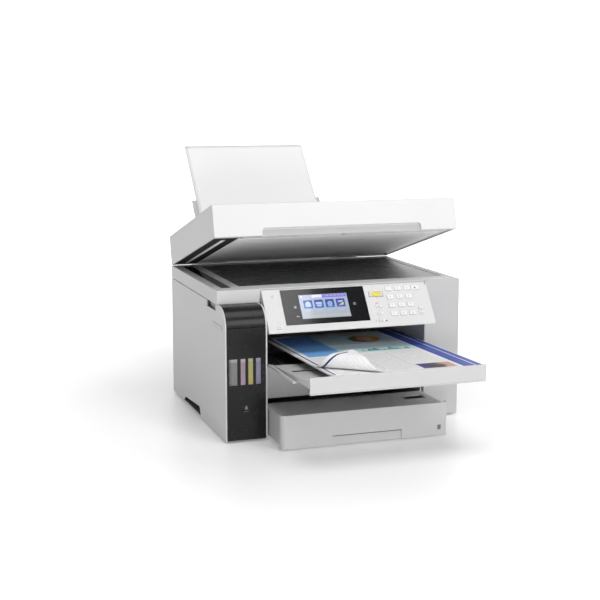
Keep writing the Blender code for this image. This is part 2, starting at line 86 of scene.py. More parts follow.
LID_PIVOT = in_case(HINGES["lid_hinge"]["pos_m"])
LID_PIVOT.x = 0.0
LID = leaning(LID_PIVOT, HINGES["lid_hinge"]["range_deg"][0]) @ Matrix.Translation(-LID_PIVOT)

PANEL_TOP = in_case(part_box("control_panel")[1])
PANEL = leaning((0.0, PANEL_TOP.y, PANEL_TOP.z), PANEL_LEAN_DEG)

FEED_AXIS = HINGES["feed_sheet_slide"]["axis"]
FEED_FOOT = in_case(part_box("feed_sheet")[0])
FEED = leaning((0.0, FEED_FOOT.y, FEED_FOOT.z), math.degrees(math.atan2(FEED_AXIS[2], FEED_AXIS[1])))

PRINT_FRONT = in_case(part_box("printed_sheets")[0])
PRINT_TOP = in_case(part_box("printed_sheets")[1])
PRINT_RISE = math.asin((PRINT_TOP.z - PRINT_FRONT.z - STACK_THICKNESS) / A3_LENGTH)
PRINTS = leaning((PRINT_FRONT.x, PRINT_FRONT.y, PRINT_TOP.z), -math.degrees(PRINT_RISE))


# ---------------------------------------------------------------- shader language


class Wire:
    """A shader socket that takes part in Python expressions."""

    def __init__(self, shader, socket):
        self.shader = shader
        self.socket = socket

    def maths(self, operation, first, second=0.0):
        return self.shader.node("ShaderNodeMath", {"operation": operation}, {0: first, 1: second})

    def __add__(self, other):
        return self.maths("ADD", self, other)

    def __radd__(self, other):
        return self.maths("ADD", other, self)

    def __sub__(self, other):
        return self.maths("SUBTRACT", self, other)

    def __rsub__(self, other):
        return self.maths("SUBTRACT", other, self)

    def __mul__(self, other):
        return self.maths("MULTIPLY", self, other)

    def __rmul__(self, other):
        return self.maths("MULTIPLY", other, self)

    def __truediv__(self, other):
        return self.maths("DIVIDE", self, other)

    def __gt__(self, other):
        return self.maths("GREATER_THAN", self, other)

    def __lt__(self, other):
        return self.maths("LESS_THAN", self, other)

    def power(self, exponent):
        return self.maths("POWER", self, exponent)

    def wave(self):
        return self.maths("SINE", self)

    def fraction(self):
        return self.maths("FRACT", self)

    def whole(self):
        return self.maths("FLOOR", self)

    def either(self, other):
        return self.maths("MAXIMUM", self, other)

    def inside(self, low, high):
        """1 where the value lies between two limits."""
        return (self > low) * (self < high)


class Shader:
    """One material, made node by node."""

    def __init__(self, name):
        self.material = bpy.data.materials.new(name)
        self.material.use_nodes = True
        self.tree = self.material.node_tree
        self.tree.nodes.clear()

    def node(self, kind, settings=None, values=None, out=0):
        """A node with its settings made first, then its sockets; gives one of its outputs."""
        made = self.tree.nodes.new(kind)
        for key, value in (settings or {}).items():
            if key == "stops":
                self.set_stops(made.color_ramp, value)
            else:
                setattr(made, key, value)
        for key, value in (values or {}).items():
            if isinstance(value, Wire):
                self.tree.links.new(value.socket, made.inputs[key])
            else:
                made.inputs[key].default_value = value
        return Wire(self, made.outputs[out])

    @staticmethod
    def set_stops(ramp, stops):
        while len(ramp.elements) < len(stops):
            ramp.elements.new(0.5)
        for element, (place, colour) in zip(ramp.elements, stops):
            element.position = place
            element.color = (*colour, 1.0)

    def mix(self, factor, first, second):
        """A colour between two colours, each a triple or a wire."""
        first, second = (c if isinstance(c, Wire) else (*c, 1.0) for c in (first, second))
        return self.node("ShaderNodeMix", {"data_type": "RGBA"}, {0: factor, 6: first, 7: second}, out=2)

    def ramp(self, value, stops, interpolation="LINEAR"):
        made = self.node("ShaderNodeValToRGB", {"stops": stops}, {0: value})
        made.socket.node.color_ramp.interpolation = interpolation
        return made

    def coordinates(self, kind="Object", scale=1.0):
        place = self.node("ShaderNodeTexCoord", out=kind)
        return self.node("ShaderNodeMapping", {}, {"Vector": place, "Scale": (scale, scale, scale)})

    def axes(self, kind="Object", scale=1.0):
        """The three coordinates as numbers."""
        place = self.coordinates(kind, scale)
        return [self.node("ShaderNodeSeparateXYZ", {}, {0: place}, out=i) for i in range(3)]

    def noise(self, scale, detail=2.0, stretch=(1.0, 1.0, 1.0), kind="Object"):
        place = self.node("ShaderNodeTexCoord", out=kind)
        place = self.node("ShaderNodeMapping", {}, {"Vector": place, "Scale": stretch})
        return self.node("ShaderNodeTexNoise", {}, {"Vector": place, "Scale": scale, "Detail": detail})

    def bump(self, height, distance, strength=1.0):
        return self.node("ShaderNodeBump", {}, {"Height": height, "Distance": distance, "Strength": strength})

    def close(self, **values):
        """Ends the material in one principled surface."""
        values = {key.replace("_", " "): value for key, value in values.items()}
        surface = self.node("ShaderNodeBsdfPrincipled", {}, values)
        end = self.tree.nodes.new("ShaderNodeOutputMaterial")
        self.tree.links.new(surface.socket, end.inputs["Surface"])
        return self.material


def opaque(colour):
    return (*colour, 1.0)


# ---------------------------------------------------------------- finishes


def moulded(name, colour, roughness=0.45, grain=0.00003, mottle=0.02, coat=0.0, shine=0.5):
    """Injection-moulded plastic: a fine spark-eroded grain, faint flow mottling and uneven sheen."""
    shader = Shader(name)
    cloud = shader.noise(7.0, 3.0)
    fine = shader.noise(1400.0, 1.0)
    sheen = shader.noise(55.0, 2.0)
    tone = shader.mix(
        cloud, tuple(c * (1 - mottle) for c in colour), tuple(min(1.0, c * (1 + mottle)) for c in colour)
    )
    return shader.close(
        Base_Color=tone,
        Roughness=roughness - 0.02 + sheen * 0.04,
        Specular_IOR_Level=shine,
        Normal=shader.bump(fine, grain, 0.35),
        Coat_Weight=coat,
        Coat_Roughness=0.12,
    )


def polished(name, colour, roughness=0.08):
    """High-gloss black with wiping marks that only change its sheen."""
    shader = Shader(name)
    wipe = shader.noise(30.0, 3.0, stretch=(1.0, 6.0, 6.0))
    dust = shader.noise(900.0, 0.0) > 0.74
    tone = shader.mix(dust * 0.08, colour, (0.35, 0.35, 0.36))
    return shader.close(
        Base_Color=tone, Roughness=roughness + wipe * 0.07, Specular_IOR_Level=0.3, Coat_Weight=0.12
    )


def bed_glass(name):
    """Document glass, opaque: its near-black colour stands in for the bay under it, partly the bay's dark parts and
    partly painted shade; mostly it mirrors the lid.
    """
    shader = Shader(name)
    smear = shader.noise(18.0, 2.0, stretch=(1.0, 3.0, 1.0))
    return shader.close(
        Base_Color=opaque((0.030, 0.032, 0.034)),
        Roughness=0.24 + smear * 0.06,
        IOR=1.5,
        Specular_IOR_Level=0.28,
    )


def steel(name, colour):
    """Plated sheet steel, drawn along x."""
    shader = Shader(name)
    drawn = shader.noise(260.0, 3.0, stretch=(0.04, 1.0, 1.0))
    spangle = shader.noise(90.0, 1.0)
    tone = shader.mix(spangle, tuple(c * 0.85 for c in colour), tuple(min(1.0, c * 1.12) for c in colour))
    return shader.close(
        Base_Color=tone, Metallic=1.0, Roughness=0.24 + drawn * 0.2, Normal=shader.bump(drawn, 0.00004, 0.4)
    )


def rubber(name, colour):
    shader = Shader(name)
    fine = shader.noise(700.0, 2.0)
    bloom = shader.noise(24.0, 3.0)
    tone = shader.mix(bloom * 0.5, colour, tuple(c * 1.9 + 0.01 for c in colour))
    return shader.close(Base_Color=tone, Roughness=0.7 + fine * 0.2, Normal=shader.bump(fine, 0.00008, 0.5))


def foam_mat(name, colour):
    """White document mat: a sealed skin over foam with tiny dimples."""
    shader = Shader(name)
    cells = shader.node("ShaderNodeTexVoronoi", {}, {"Vector": shader.coordinates(), "Scale": 620.0})
    cloud = shader.noise(9.0, 3.0)
    tone = shader.mix(cloud, tuple(c * 0.96 for c in colour), colour)
    return shader.close(Base_Color=tone, Roughness=0.62 + cells * 0.2, Normal=shader.bump(cells, 0.00006, 0.4))


def paper(name, colour, edge_lines=False):
    """Uncoated copy paper: short fibres, and sheet edges where a stack shows its side."""
    shader = Shader(name)
    fibre = shader.noise(650.0, 4.0)
    cloud = shader.noise(14.0, 3.0)
    tone = shader.mix(fibre * 0.6 + cloud * 0.4, tuple(c * 0.955 for c in colour), colour)
    height = fibre
    if edge_lines:
        z = shader.axes()[2]
        sheets = (z * (math.tau / (SHEET_PITCH * MM))).wave()
        tone = shader.mix(sheets * 0.10 + 0.10, tone, (0.62, 0.62, 0.61))
        height = fibre + sheets * 0.5
    return shader.close(Base_Color=tone, Roughness=0.86, Normal=shader.bump(height, 0.00003, 0.4))


def circuit(name, colour):
    """Green solder mask with lighter traces."""
    shader = Shader(name)
    x, y, z = shader.axes(scale=1000.0)
    tracks = ((y * 0.8 + (x * 0.21).wave() * 1.4).wave() > 0.55) * (shader.noise(60.0, 0.0) > 0.5)
    tone = shader.mix(tracks * 0.55, colour, (0.07, 0.34, 0.16))
    return shader.close(Base_Color=tone, Roughness=0.38 + tracks * 0.1, Normal=shader.bump(tracks, 0.00003, 0.5))


def tank_plastic(name, ink, level_mm):
    """Clouded polypropylene with ink behind it up to a level, counted from the floor."""
    shader = Shader(name)
    x, y, z = shader.axes(scale=1000.0)
    cloud = shader.noise(45.0, 3.0)
    full = (z + (cloud - 0.5) * 1.5) < level_mm
    empty = shader.mix(cloud, (0.55, 0.56, 0.58), (0.66, 0.67, 0.69))
    wet = shader.mix(cloud * 0.6, ink, tuple(min(1.0, c * 1.5 + 0.02) for c in ink))
    return shader.close(
        Base_Color=shader.mix(full, empty, wet),
        Roughness=0.22 + cloud * 0.12,
        Subsurface_Weight=0.0,
        Coat_Weight=0.2,
    )


def window_pane(name, top, middle, bottom, span):
    """A frosted tank window: pale at the top where the tank is empty, tinted by the ink below."""
    shader = Shader(name)
    x, y, z = shader.axes(scale=1000.0)
    low, high = span
    rise = (z - low) / (high - low)
    cloud = shader.noise(120.0, 2.0)
    tone = shader.ramp(rise + (cloud - 0.5) * 0.05, [(0.0, bottom), (0.45, middle), (0.84, middle), (0.94, top)])
    return shader.close(
        Base_Color=tone,
        Roughness=0.3 + cloud * 0.1,
        Normal=shader.bump(cloud, 0.00008, 0.3),
        Coat_Weight=0.3,
        Coat_Roughness=0.1,
    )


def lit(name, bottom, top, span, strength=0.22):
    """A lit area of the screen, shaded up the case from one colour to another."""
    shader = Shader(name)
    x, y, z = shader.axes(scale=1000.0)
    rise = (z - span[0]) / (span[1] - span[0])
    cells = ((x * 14.0).wave() * (z * 17.0).wave()) * 0.03
    tone = shader.ramp(rise + cells, [(0.0, bottom), (1.0, top)])
    return shader.close(
        Base_Color=tone, Emission_Color=tone, Emission_Strength=strength, Roughness=0.12, Coat_Weight=0.5
    )


def marking(name, colour, roughness=0.5):
    """Pad-printed ink: slightly uneven cover."""
    shader = Shader(name)
    cover = shader.noise(800.0, 2.0)
    tone = shader.mix(cover, tuple(c * 0.9 for c in colour), tuple(min(1.0, c * 1.12 + 0.01) for c in colour))
    return shader.close(Base_Color=tone, Roughness=roughness, Normal=shader.bump(cover, 0.00001, 0.3))


def text_rows(shader, u, v, pitch, fill=0.36):
    """Rows of grey print, broken into words."""
    row = (v / pitch).whole()
    words = shader.node(
        "ShaderNodeTexNoise",
        {"noise_dimensions": "2D"},
        {
            "Vector": shader.node("ShaderNodeCombineXYZ", {}, {0: u * 0.22, 1: row * 3.7, 2: 0.0}),
            "Scale": 1.0,
            "Detail": 1.0,
        },
    )
    return ((v / pitch).fraction() < fill) * (words > 0.44)


PAGE_AREAS = {
    "margin line": ((8.0, 11.4), (14.0, 408.0)),
    "blue block": ((20.0, 94.0), (184.0, 398.0)),
    "pale block": ((94.0, 254.0), (196.0, 378.0)),
    "wide column": ((20.0, 174.0), (16.0, 176.0)),
    "narrow column": ((182.0, 246.0), (60.0, 186.0)),
    "picture": ((181.0, 248.0), (8.0, 52.0)),
}
CHART_CENTRE, CHART_HOLE, CHART_EDGE = (192.0, 334.0), 17.0, 33.0
CHART_SHARES = [
    (0.0, (0.50, 0.06, 0.03)),
    (0.22, (0.72, 0.24, 0.03)),
    (0.55, (0.80, 0.42, 0.04)),
    (0.8, (0.16, 0.30, 0.10)),
]
PICTURE_TONES = [
    (0.0, (0.06, 0.05, 0.36)),
    (0.34, (0.035, 0.02, 0.05)),
    (0.6, (0.10, 0.05, 0.04)),
    (0.72, (0.60, 0.38, 0.26)),
]


def page_area(u, v, name):
    across, along = PAGE_AREAS[name]
    return u.inside(*across) * v.inside(*along)


def printed_page(name, underside=False):
    """A colour report page, laid out in millimetres from the sheet's front-left corner."""
    shader = Shader(name)
    u, v, _ = shader.axes("UV")
    u, v = u * A3_WIDTH, v * A3_LENGTH
    fibre = shader.noise(650.0, 3.0)
    page = shader.mix(fibre, (0.86, 0.86, 0.86), (0.93, 0.93, 0.93))
    navy, royal = (0.012, 0.020, 0.16), (0.020, 0.065, 0.42)
    margin = page_area(u, v, "margin line")
    if underside:
        rows = text_rows(shader, u, v, 6.5) * u.inside(24.0, 250.0)
        page = shader.mix(rows * 0.25, page, (0.55, 0.55, 0.56))
        page = shader.mix(margin, page, navy)
        return shader.close(Base_Color=page, Roughness=0.72, Normal=shader.bump(fibre, 0.00003, 0.3))
    ripple = shader.noise(40.0, 2.0)
    block = page_area(u, v, "blue block")
    blue = shader.mix((v - 184.0) / 214.0, (0.17, 0.44, 0.84), (0.15, 0.38, 0.80))
    blue = shader.mix(text_rows(shader, u, v, 12.0, 0.14) * 0.35, blue, (0.25, 0.42, 0.66))
    page = shader.mix(block, page, blue)
    pale = page_area(u, v, "pale block")
    page = shader.mix(pale, page, (0.62, 0.78, 0.83))
    page = shader.mix(pale * text_rows(shader, u, v, 9.0, 0.16) * (v > 262.0) * 0.6, page, (0.70, 0.78, 0.80))
    across, along = u - CHART_CENTRE[0], (v - CHART_CENTRE[1]) * 0.9
    radius = (across * across + along * along).power(0.5)
    turn = shader.node("ShaderNodeMath", {"operation": "ARCTAN2"}, {0: along, 1: across}) / math.tau + 0.5
    shares = shader.ramp(turn, CHART_SHARES, "CONSTANT")
    page = shader.mix(radius.inside(CHART_HOLE, CHART_EDGE), page, shares)
    page = shader.mix(radius < CHART_HOLE, page, (0.55, 0.50, 0.42))
    crest = ((u * 0.16).wave() * 0.5 + (u * 0.41).wave() * 0.3 + 0.9) * 17.0 + 203.0
    hills = u.inside(140.0, 240.0) * (v > 205.0) * (v < crest)
    page = shader.mix(hills, page, shader.mix(ripple > 0.5, (0.05, 0.30, 0.27), (0.10, 0.42, 0.33)))
    body = page_area(u, v, "wide column") * (1.0 - u.inside(110.0, 116.0))
    columns = body.either(page_area(u, v, "narrow column"))
    page = shader.mix(columns * text_rows(shader, u, v, 5.4) * 0.45, page, (0.42, 0.42, 0.44))
    rules = u.inside(112.4, 113.4).either(u.inside(176.0, 177.0)) * v.inside(30.0, 184.0)
    page = shader.mix(rules * 0.8, page, (0.20, 0.20, 0.24))
    picture = page_area(u, v, "picture")
    blotch = shader.noise(34.0, 3.0)
    tones = shader.ramp((u - 181.0) / 67.0 + (blotch - 0.5) * 0.5, PICTURE_TONES)
    page = shader.mix(picture, page, tones)
    stripes = u.inside(256.5, 280.5).either(u.inside(282.8, 295.0)) * v.inside(2.0, 418.0)
    page = shader.mix(stripes, page, royal)
    fine = (u.inside(266.6, 267.6).either(u.inside(288.4, 289.0))) * v.inside(150.0, 330.0) * 0.5
    page = shader.mix(fine, page, (0.40, 0.50, 0.80))
    page = shader.mix(margin, page, navy)
    return shader.close(Base_Color=page, Roughness=0.55, Coat_Weight=0.08, Normal=shader.bump(fibre, 0.00002, 0.3))


# ---------------------------------------------------------------- mesh tools


def fresh(bm, before):
    """The faces that were not there before."""
    return [face for face in bm.faces if face not in before]


def paint(faces, slot):
    for face in faces:
        face.material_index = slot


def new_verts(made):
    """The vertices among what an extrusion made."""
    return [part for part in made["geom"] if isinstance(part, bmesh.types.BMVert)]


def turned_to(axis):
    """The turn that takes something built along z to another axis."""
    quarter = math.pi / 2
    return {"X": Matrix.Rotation(quarter, 4, "Y"), "Y": Matrix.Rotation(-quarter, 4, "X"), "Z": Matrix()}[axis]


def box(bm, x, y, z, radius=0.0, axis="Z", segments=4, slot=0):
    """A box between pairs of limits. Its edges along one axis, or all of them, are rounded."""
    before = set(bm.faces)
    made = bmesh.ops.create_cube(bm, size=1.0)
    verts = made["verts"]
    bmesh.ops.scale(bm, vec=(x[1] - x[0], y[1] - y[0], z[1] - z[0]), verts=verts)
    bmesh.ops.translate(bm, vec=((x[0] + x[1]) / 2, (y[0] + y[1]) / 2, (z[0] + z[1]) / 2), verts=verts)
    if radius:
        edges = dict.fromkeys(edge for vert in verts for edge in vert.link_edges)
        if axis != "ALL":
            along = "XYZ".index(axis)
            edges = [e for e in edges if abs((e.verts[0].co - e.verts[1].co).normalized()[along]) > 0.99]
        bmesh.ops.bevel(
            bm,
            geom=list(edges),
            offset=radius,
            offset_type="OFFSET",
            segments=segments,
            profile=0.5,
            affect="EDGES",
            material=-1,
            clamp_overlap=True,
        )
    paint(fresh(bm, before), slot)


def rod(bm, centre, radius, depth, axis="Z", sides=24, top=None, slot=0, lip=0.0):
    """A round bar or button about a centre, narrowing to another radius, its rims eased."""
    before = set(bm.faces)
    made = bmesh.ops.create_cone(
        bm,
        cap_ends=True,
        segments=sides,
        radius1=radius,
        radius2=radius if top is None else top,
        depth=depth,
        matrix=Matrix.Translation(centre) @ turned_to(axis),
    )
    if lip:
        edges = dict.fromkeys(edge for vert in made["verts"] for edge in vert.link_edges)
        bmesh.ops.bevel(
            bm,
            geom=[edge for edge in edges if any(len(face.verts) > 4 for face in edge.link_faces)],
            offset=lip,
            offset_type="OFFSET",
            segments=2,
            profile=0.5,
            affect="EDGES",
            material=-1,
        )
    paint(fresh(bm, before), slot)


def ring(bm, centre, inner, outer, height, axis="Z", sides=28, slot=0):
    """A flat ring, spun from its section."""
    before = set(bm.faces)
    section = [
        (inner, 0.0, -height / 2),
        (outer, 0.0, -height / 2),
        (outer, 0.0, height / 2),
        (inner, 0.0, height / 2),
    ]
    verts = [bm.verts.new(point) for point in section]
    edges = [bm.edges.new((verts[i], verts[(i + 1) % 4])) for i in range(4)]
    bmesh.ops.spin(
        bm, geom=verts + edges, cent=(0, 0, 0), axis=(0, 0, 1), angle=math.tau, steps=sides, use_merge=True
    )
    faces = fresh(bm, before)
    moved = list(dict.fromkeys(vert for face in faces for vert in face.verts))
    bmesh.ops.transform(bm, matrix=Matrix.Translation(centre) @ turned_to(axis), verts=moved)
    paint(faces, slot)


def plate(bm, outline, low, high, axis="Z", slot=0):
    """An outline drawn on the plane across an axis, made thick between two levels."""
    order = {"Z": (0, 1, 2), "X": (1, 2, 0), "Y": (0, 2, 1)}[axis]
    before = set(bm.faces)
    verts = []
    for a, b in outline:
        point = [0.0, 0.0, 0.0]
        point[order[0]], point[order[1]], point[order[2]] = a, b, low
        verts.append(bm.verts.new(point))
    face = bm.faces.new(verts)
    moved = bmesh.ops.extrude_face_region(bm, geom=[face])
    step = [0.0, 0.0, 0.0]
    step[order[2]] = high - low
    bmesh.ops.translate(bm, vec=step, verts=new_verts(moved))
    paint(fresh(bm, before), slot)


def rounded(x, y, radius, steps=5):
    """The outline of a rectangle with round corners."""
    corners = ((x[1] - radius, y[1] - radius, 0), (x[0] + radius, y[1] - radius, 90))
    corners += ((x[0] + radius, y[0] + radius, 180), (x[1] - radius, y[0] + radius, 270))
    outline = []
    for cx, cy, start in corners:
        for step in range(steps + 1):
            angle = math.radians(start + 90 * step / steps)
            outline.append((cx + radius * math.cos(angle), cy + radius * math.sin(angle)))
    return outline


def arc(centre, radius, degrees):
    """Points on a circle, at angles counted from the first axis."""
    turns = [math.radians(t) for t in degrees]
    return [(centre[0] + radius * math.cos(a), centre[1] + radius * math.sin(a)) for a in turns]


def oval(x, y, width, height, steps=28):
    """The outline of an oval key."""
    return [
        (x + width / 2 * math.cos(math.tau * i / steps), y + height / 2 * math.sin(math.tau * i / steps))
        for i in range(steps)
    ]


def lens(x, y, width, height, steps=10):
    """The outline of a key made of two arcs that meet in points."""
    rise, half = height / 2, width / 2
    radius = (half * half + rise * rise) / (2 * rise)
    reach = math.asin(half / radius)
    angles = [reach - 2 * reach * i / steps for i in range(steps)]
    upper = [(x + radius * math.sin(a), y + rise - radius + radius * math.cos(a)) for a in angles]
    return upper + [(2 * x - a, 2 * y - b) for a, b in upper]


def lettering(bm, words, size, middle, low, high, slot=0):
    """Plain characters, centred on a point, standing between two levels."""
    curve = bpy.data.curves.new("lettering", "FONT")
    curve.body, curve.size = words, size
    curve.align_x, curve.align_y = "CENTER", "CENTER"
    curve.extrude = (high - low) / 2
    curve.resolution_u = 3
    carrier = bpy.data.objects.new("lettering", curve)
    bpy.context.scene.collection.objects.link(carrier)
    bpy.context.view_layer.update()
    shape = carrier.evaluated_get(bpy.context.evaluated_depsgraph_get()).to_mesh()
    before_faces, before_verts = set(bm.faces), set(bm.verts)
    bm.from_mesh(shape)
    moved = [vert for vert in bm.verts if vert not in before_verts]
    bmesh.ops.remove_doubles(bm, verts=moved, dist=0.0005)
    moved = [vert for vert in bm.verts if vert not in before_verts]
    bmesh.ops.translate(bm, vec=(middle[0], middle[1], (low + high) / 2), verts=moved)
    paint(fresh(bm, before_faces), slot)
    bpy.data.objects.remove(carrier)
    bpy.data.curves.remove(curve)


def sheet_grid(columns, rows):
    """A flat A3 sheet with its own page coordinates, its front-left corner at the origin."""
    bm = bmesh.new()
    bm.loops.layers.uv.new("sheet")
    bmesh.ops.create_grid(bm, x_segments=columns, y_segments=rows, size=0.5, calc_uvs=True)
    bmesh.ops.translate(bm, vec=(0.5, 0.5, 0.0), verts=bm.verts)
    bmesh.ops.scale(bm, vec=(A3_WIDTH, A3_LENGTH, 1.0), verts=bm.verts)
    return bm


def settle(name, bm, place, finishes, body, replaces=(), closed=True, smooth_deg=32.0, bevel=0.0):
    """Turns a bmesh in one of the frames into a piece that rides on a body."""
    bm.transform(place)
    bm.normal_update()
    if closed:
        bmesh.ops.recalc_face_normals(bm, faces=bm.faces)
    mesh = bpy.data.meshes.new(name)
    bm.to_mesh(mesh)
    bm.free()
    for finish in finishes:
        mesh.materials.append(finish_named(finish))
    mesh.shade_smooth()
    mesh.set_sharp_from_angle(angle=math.radians(smooth_deg))
    piece = bpy.data.objects.new(name, mesh)
    bpy.context.scene.collection.objects.link(piece)
    if bevel:
        ease = piece.modifiers.new("eased edges", "BEVEL")
        ease.width, ease.segments, ease.limit_method = bevel * MM, 2, "ANGLE"
        ease.angle_limit = EASED_ANGLE
    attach(piece, body)
    if replaces:
        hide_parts(*replaces)
    return piece


# ---------------------------------------------------------------- settings


def colour_setting(name, description, default):
    return FloatVectorProperty(name=name, description=description, subtype="COLOR", size=3, default=default)


def length_setting(name, description, default_mm):
    return FloatProperty(
        name=name, description=description, default=default_mm * MM, unit="LENGTH", subtype="DISTANCE"
    )


class PrinterColours(bpy.types.PropertyGroup):
    """Colours of the plastics, inks and keys."""

    shell: colour_setting("Shell", "White of the outer covers", (0.58, 0.58, 0.585))
    lid: colour_setting("Lid", "White of the lid and the control panel", (0.64, 0.64, 0.64))
    trays: colour_setting("Trays", "Pale grey of the trays and cassettes", (0.53, 0.53, 0.535))
    fittings: colour_setting("Fittings", "Mid grey of the inner fittings", (0.16, 0.16, 0.165))
    bay: colour_setting("Ink bay", "Black of the ink bay and its cover", (0.009, 0.009, 0.010))
    start_key: colour_setting("Start key", "Yellow of the start key", (0.72, 0.60, 0.06))
    magenta: colour_setting("Magenta", "Magenta ink", (0.30, 0.02, 0.12))
    yellow: colour_setting("Yellow", "Yellow ink", (0.62, 0.45, 0.02))
    cyan: colour_setting("Cyan", "Cyan ink", (0.02, 0.16, 0.42))


class PrinterSizes(bpy.types.PropertyGroup):
    """Sizes of the small work and of the loose sheets."""

    shell_edge: length_setting("Shell edge", "Radius of the outer covers' edges", 1.2)
    trim_edge: length_setting("Trim edge", "Radius of the small parts' edges", 0.5)
    paper_thickness: length_setting("Paper thickness", "Thickness of one loose sheet", 0.22)
    curl_radius: length_setting("Curl radius", "Radius of the top print's curled corner", 14.0)


def colours():
    return bpy.context.scene.printer_colours


def sizes():
    return bpy.context.scene.printer_sizes


WINDOWS = (
    ("black", (7.0, 24.0), (0.42, 0.42, 0.43), (0.20, 0.20, 0.205), (0.19, 0.19, 0.20)),
    ("magenta", (30.0, 40.0), (0.50, 0.42, 0.46), (0.33, 0.25, 0.28), (0.42, 0.26, 0.40)),
    ("yellow", (45.2, 55.2), (0.44, 0.46, 0.30), (0.38, 0.38, 0.12), (0.50, 0.36, 0.10)),
    ("cyan", (60.4, 70.4), (0.36, 0.35, 0.46), (0.22, 0.21, 0.30), (0.24, 0.22, 0.36)),
)
WINDOW_HEIGHT = (113.0, 164.0)
WINDOW_SHADE = 0.72
BLACK_INK = (0.006, 0.006, 0.007)
INK_LEVEL = 158.0
SCREEN_FULL, SCREEN_HEAD, SCREEN_TILES = (228.0, 271.0), (262.0, 271.0), (246.0, 263.0)


def finish_named(name):
    """The finish of that name, made the first time it is asked for."""
    made = bpy.data.materials.get(name)
    return made or FINISHES[name](name)


def ink_of(colour):
    return tuple(BLACK_INK if colour == "black" else getattr(colours(), colour))


def window_finish(name, tints):
    return window_pane(name, *(tuple(c * WINDOW_SHADE for c in tint) for tint in tints), WINDOW_HEIGHT)


FINISHES = {
    "shell white": lambda n: moulded(n, tuple(colours().shell), 0.42),
    "lid white": lambda n: moulded(n, tuple(colours().lid), 0.42),
    # A darker copy of the shell white for the right column: painted shade.
    "column white": lambda n: moulded(n, (0.48, 0.48, 0.485), 0.42),
    # A darker copy of the shell white: painted shade for the grip recess, the latch well, the finger notch and the
    # lid's hinge plates.
    "shell recess": lambda n: moulded(n, (0.44, 0.44, 0.445), 0.5),
    "tray grey": lambda n: moulded(n, tuple(colours().trays), 0.45),
    "soft grey": lambda n: moulded(n, (0.42, 0.42, 0.425), 0.5),
    "key white": lambda n: moulded(n, (0.76, 0.76, 0.77), 0.38, grain=0.00001),
    "key yellow": lambda n: moulded(n, tuple(colours().start_key), 0.35, grain=0.00001, coat=0.3),
    "fitting grey": lambda n: moulded(n, tuple(colours().fittings), 0.5),
    # Grey lightened to make up for the shade under the output tray: painted light. The carriage top shares it.
    "cover grey": lambda n: moulded(n, (0.64, 0.64, 0.645), 0.42),
    "bay black": lambda n: moulded(n, tuple(colours().bay), 0.27, grain=0.00001, mottle=0.04, shine=0.22),
    "dull black": lambda n: moulded(n, (0.010, 0.010, 0.011), 0.6, mottle=0.15),
    "gloss black": lambda n: polished(n, (0.007, 0.007, 0.008)),
    "bed glass": bed_glass,
    "plated steel": lambda n: steel(n, (0.56, 0.57, 0.58)),
    "spring steel": lambda n: steel(n, (0.38, 0.38, 0.39)),
    "black rubber": lambda n: rubber(n, (0.022, 0.022, 0.022)),
    "grey rubber": lambda n: rubber(n, (0.13, 0.13, 0.135)),
    "mat white": lambda n: foam_mat(n, (0.86, 0.86, 0.85)),
    "blank paper": lambda n: paper(n, (0.93, 0.93, 0.93)),
    "paper stack": lambda n: paper(n, (0.86, 0.86, 0.85), edge_lines=True),
    "printed page": printed_page,
    "page underside": lambda n: printed_page(n, underside=True),
    "solder mask": lambda n: circuit(n, (0.012, 0.13, 0.055)),
    "legend grey": lambda n: marking(n, (0.23, 0.23, 0.24)),
    "legend pale": lambda n: marking(n, (0.52, 0.52, 0.53)),
    "legend dark": lambda n: marking(n, (0.03, 0.03, 0.035)),
    "legend red": lambda n: marking(n, (0.45, 0.06, 0.05)),
    "touch icon": lambda n: marking(n, (0.42, 0.42, 0.44), 0.3),
    "belt": lambda n: rubber(n, (0.03, 0.03, 0.032)),
    "gold contacts": lambda n: steel(n, (0.80, 0.58, 0.22)),
    "screen page": lambda n: lit(n, (0.30, 0.36, 0.38), (0.32, 0.36, 0.52), SCREEN_FULL),
    "screen header": lambda n: lit(n, (0.12, 0.11, 0.42), (0.20, 0.19, 0.52), SCREEN_HEAD),
    "screen header pale": lambda n: lit(n, (0.50, 0.50, 0.60), (0.62, 0.62, 0.72), SCREEN_HEAD),
    "screen tile": lambda n: lit(n, (0.05, 0.11, 0.38), (0.03, 0.045, 0.20), SCREEN_TILES),
    "screen tile violet": lambda n: lit(n, (0.10, 0.09, 0.40), (0.05, 0.04, 0.22), SCREEN_TILES),
    "screen icon": lambda n: lit(n, (0.24, 0.40, 0.66), (0.40, 0.54, 0.74), SCREEN_TILES),
    "screen green": lambda n: lit(n, (0.28, 0.50, 0.10), (0.62, 0.72, 0.16), SCREEN_TILES),
    "screen grey": lambda n: lit(n, (0.26, 0.26, 0.28), (0.42, 0.42, 0.44), (228.0, 262.0), 0.6),
}
for _colour, _, *_tints in WINDOWS:
    FINISHES[f"{_colour} window"] = lambda n, t=_tints: window_finish(n, t)
    FINISHES[f"{_colour} tank"] = lambda n, c=_colour: tank_plastic(n, ink_of(c), INK_LEVEL)
    FINISHES[f"{_colour} ring"] = lambda n, c=_colour: moulded(n, tuple(max(x, 0.03) for x in ink_of(c)), 0.4)

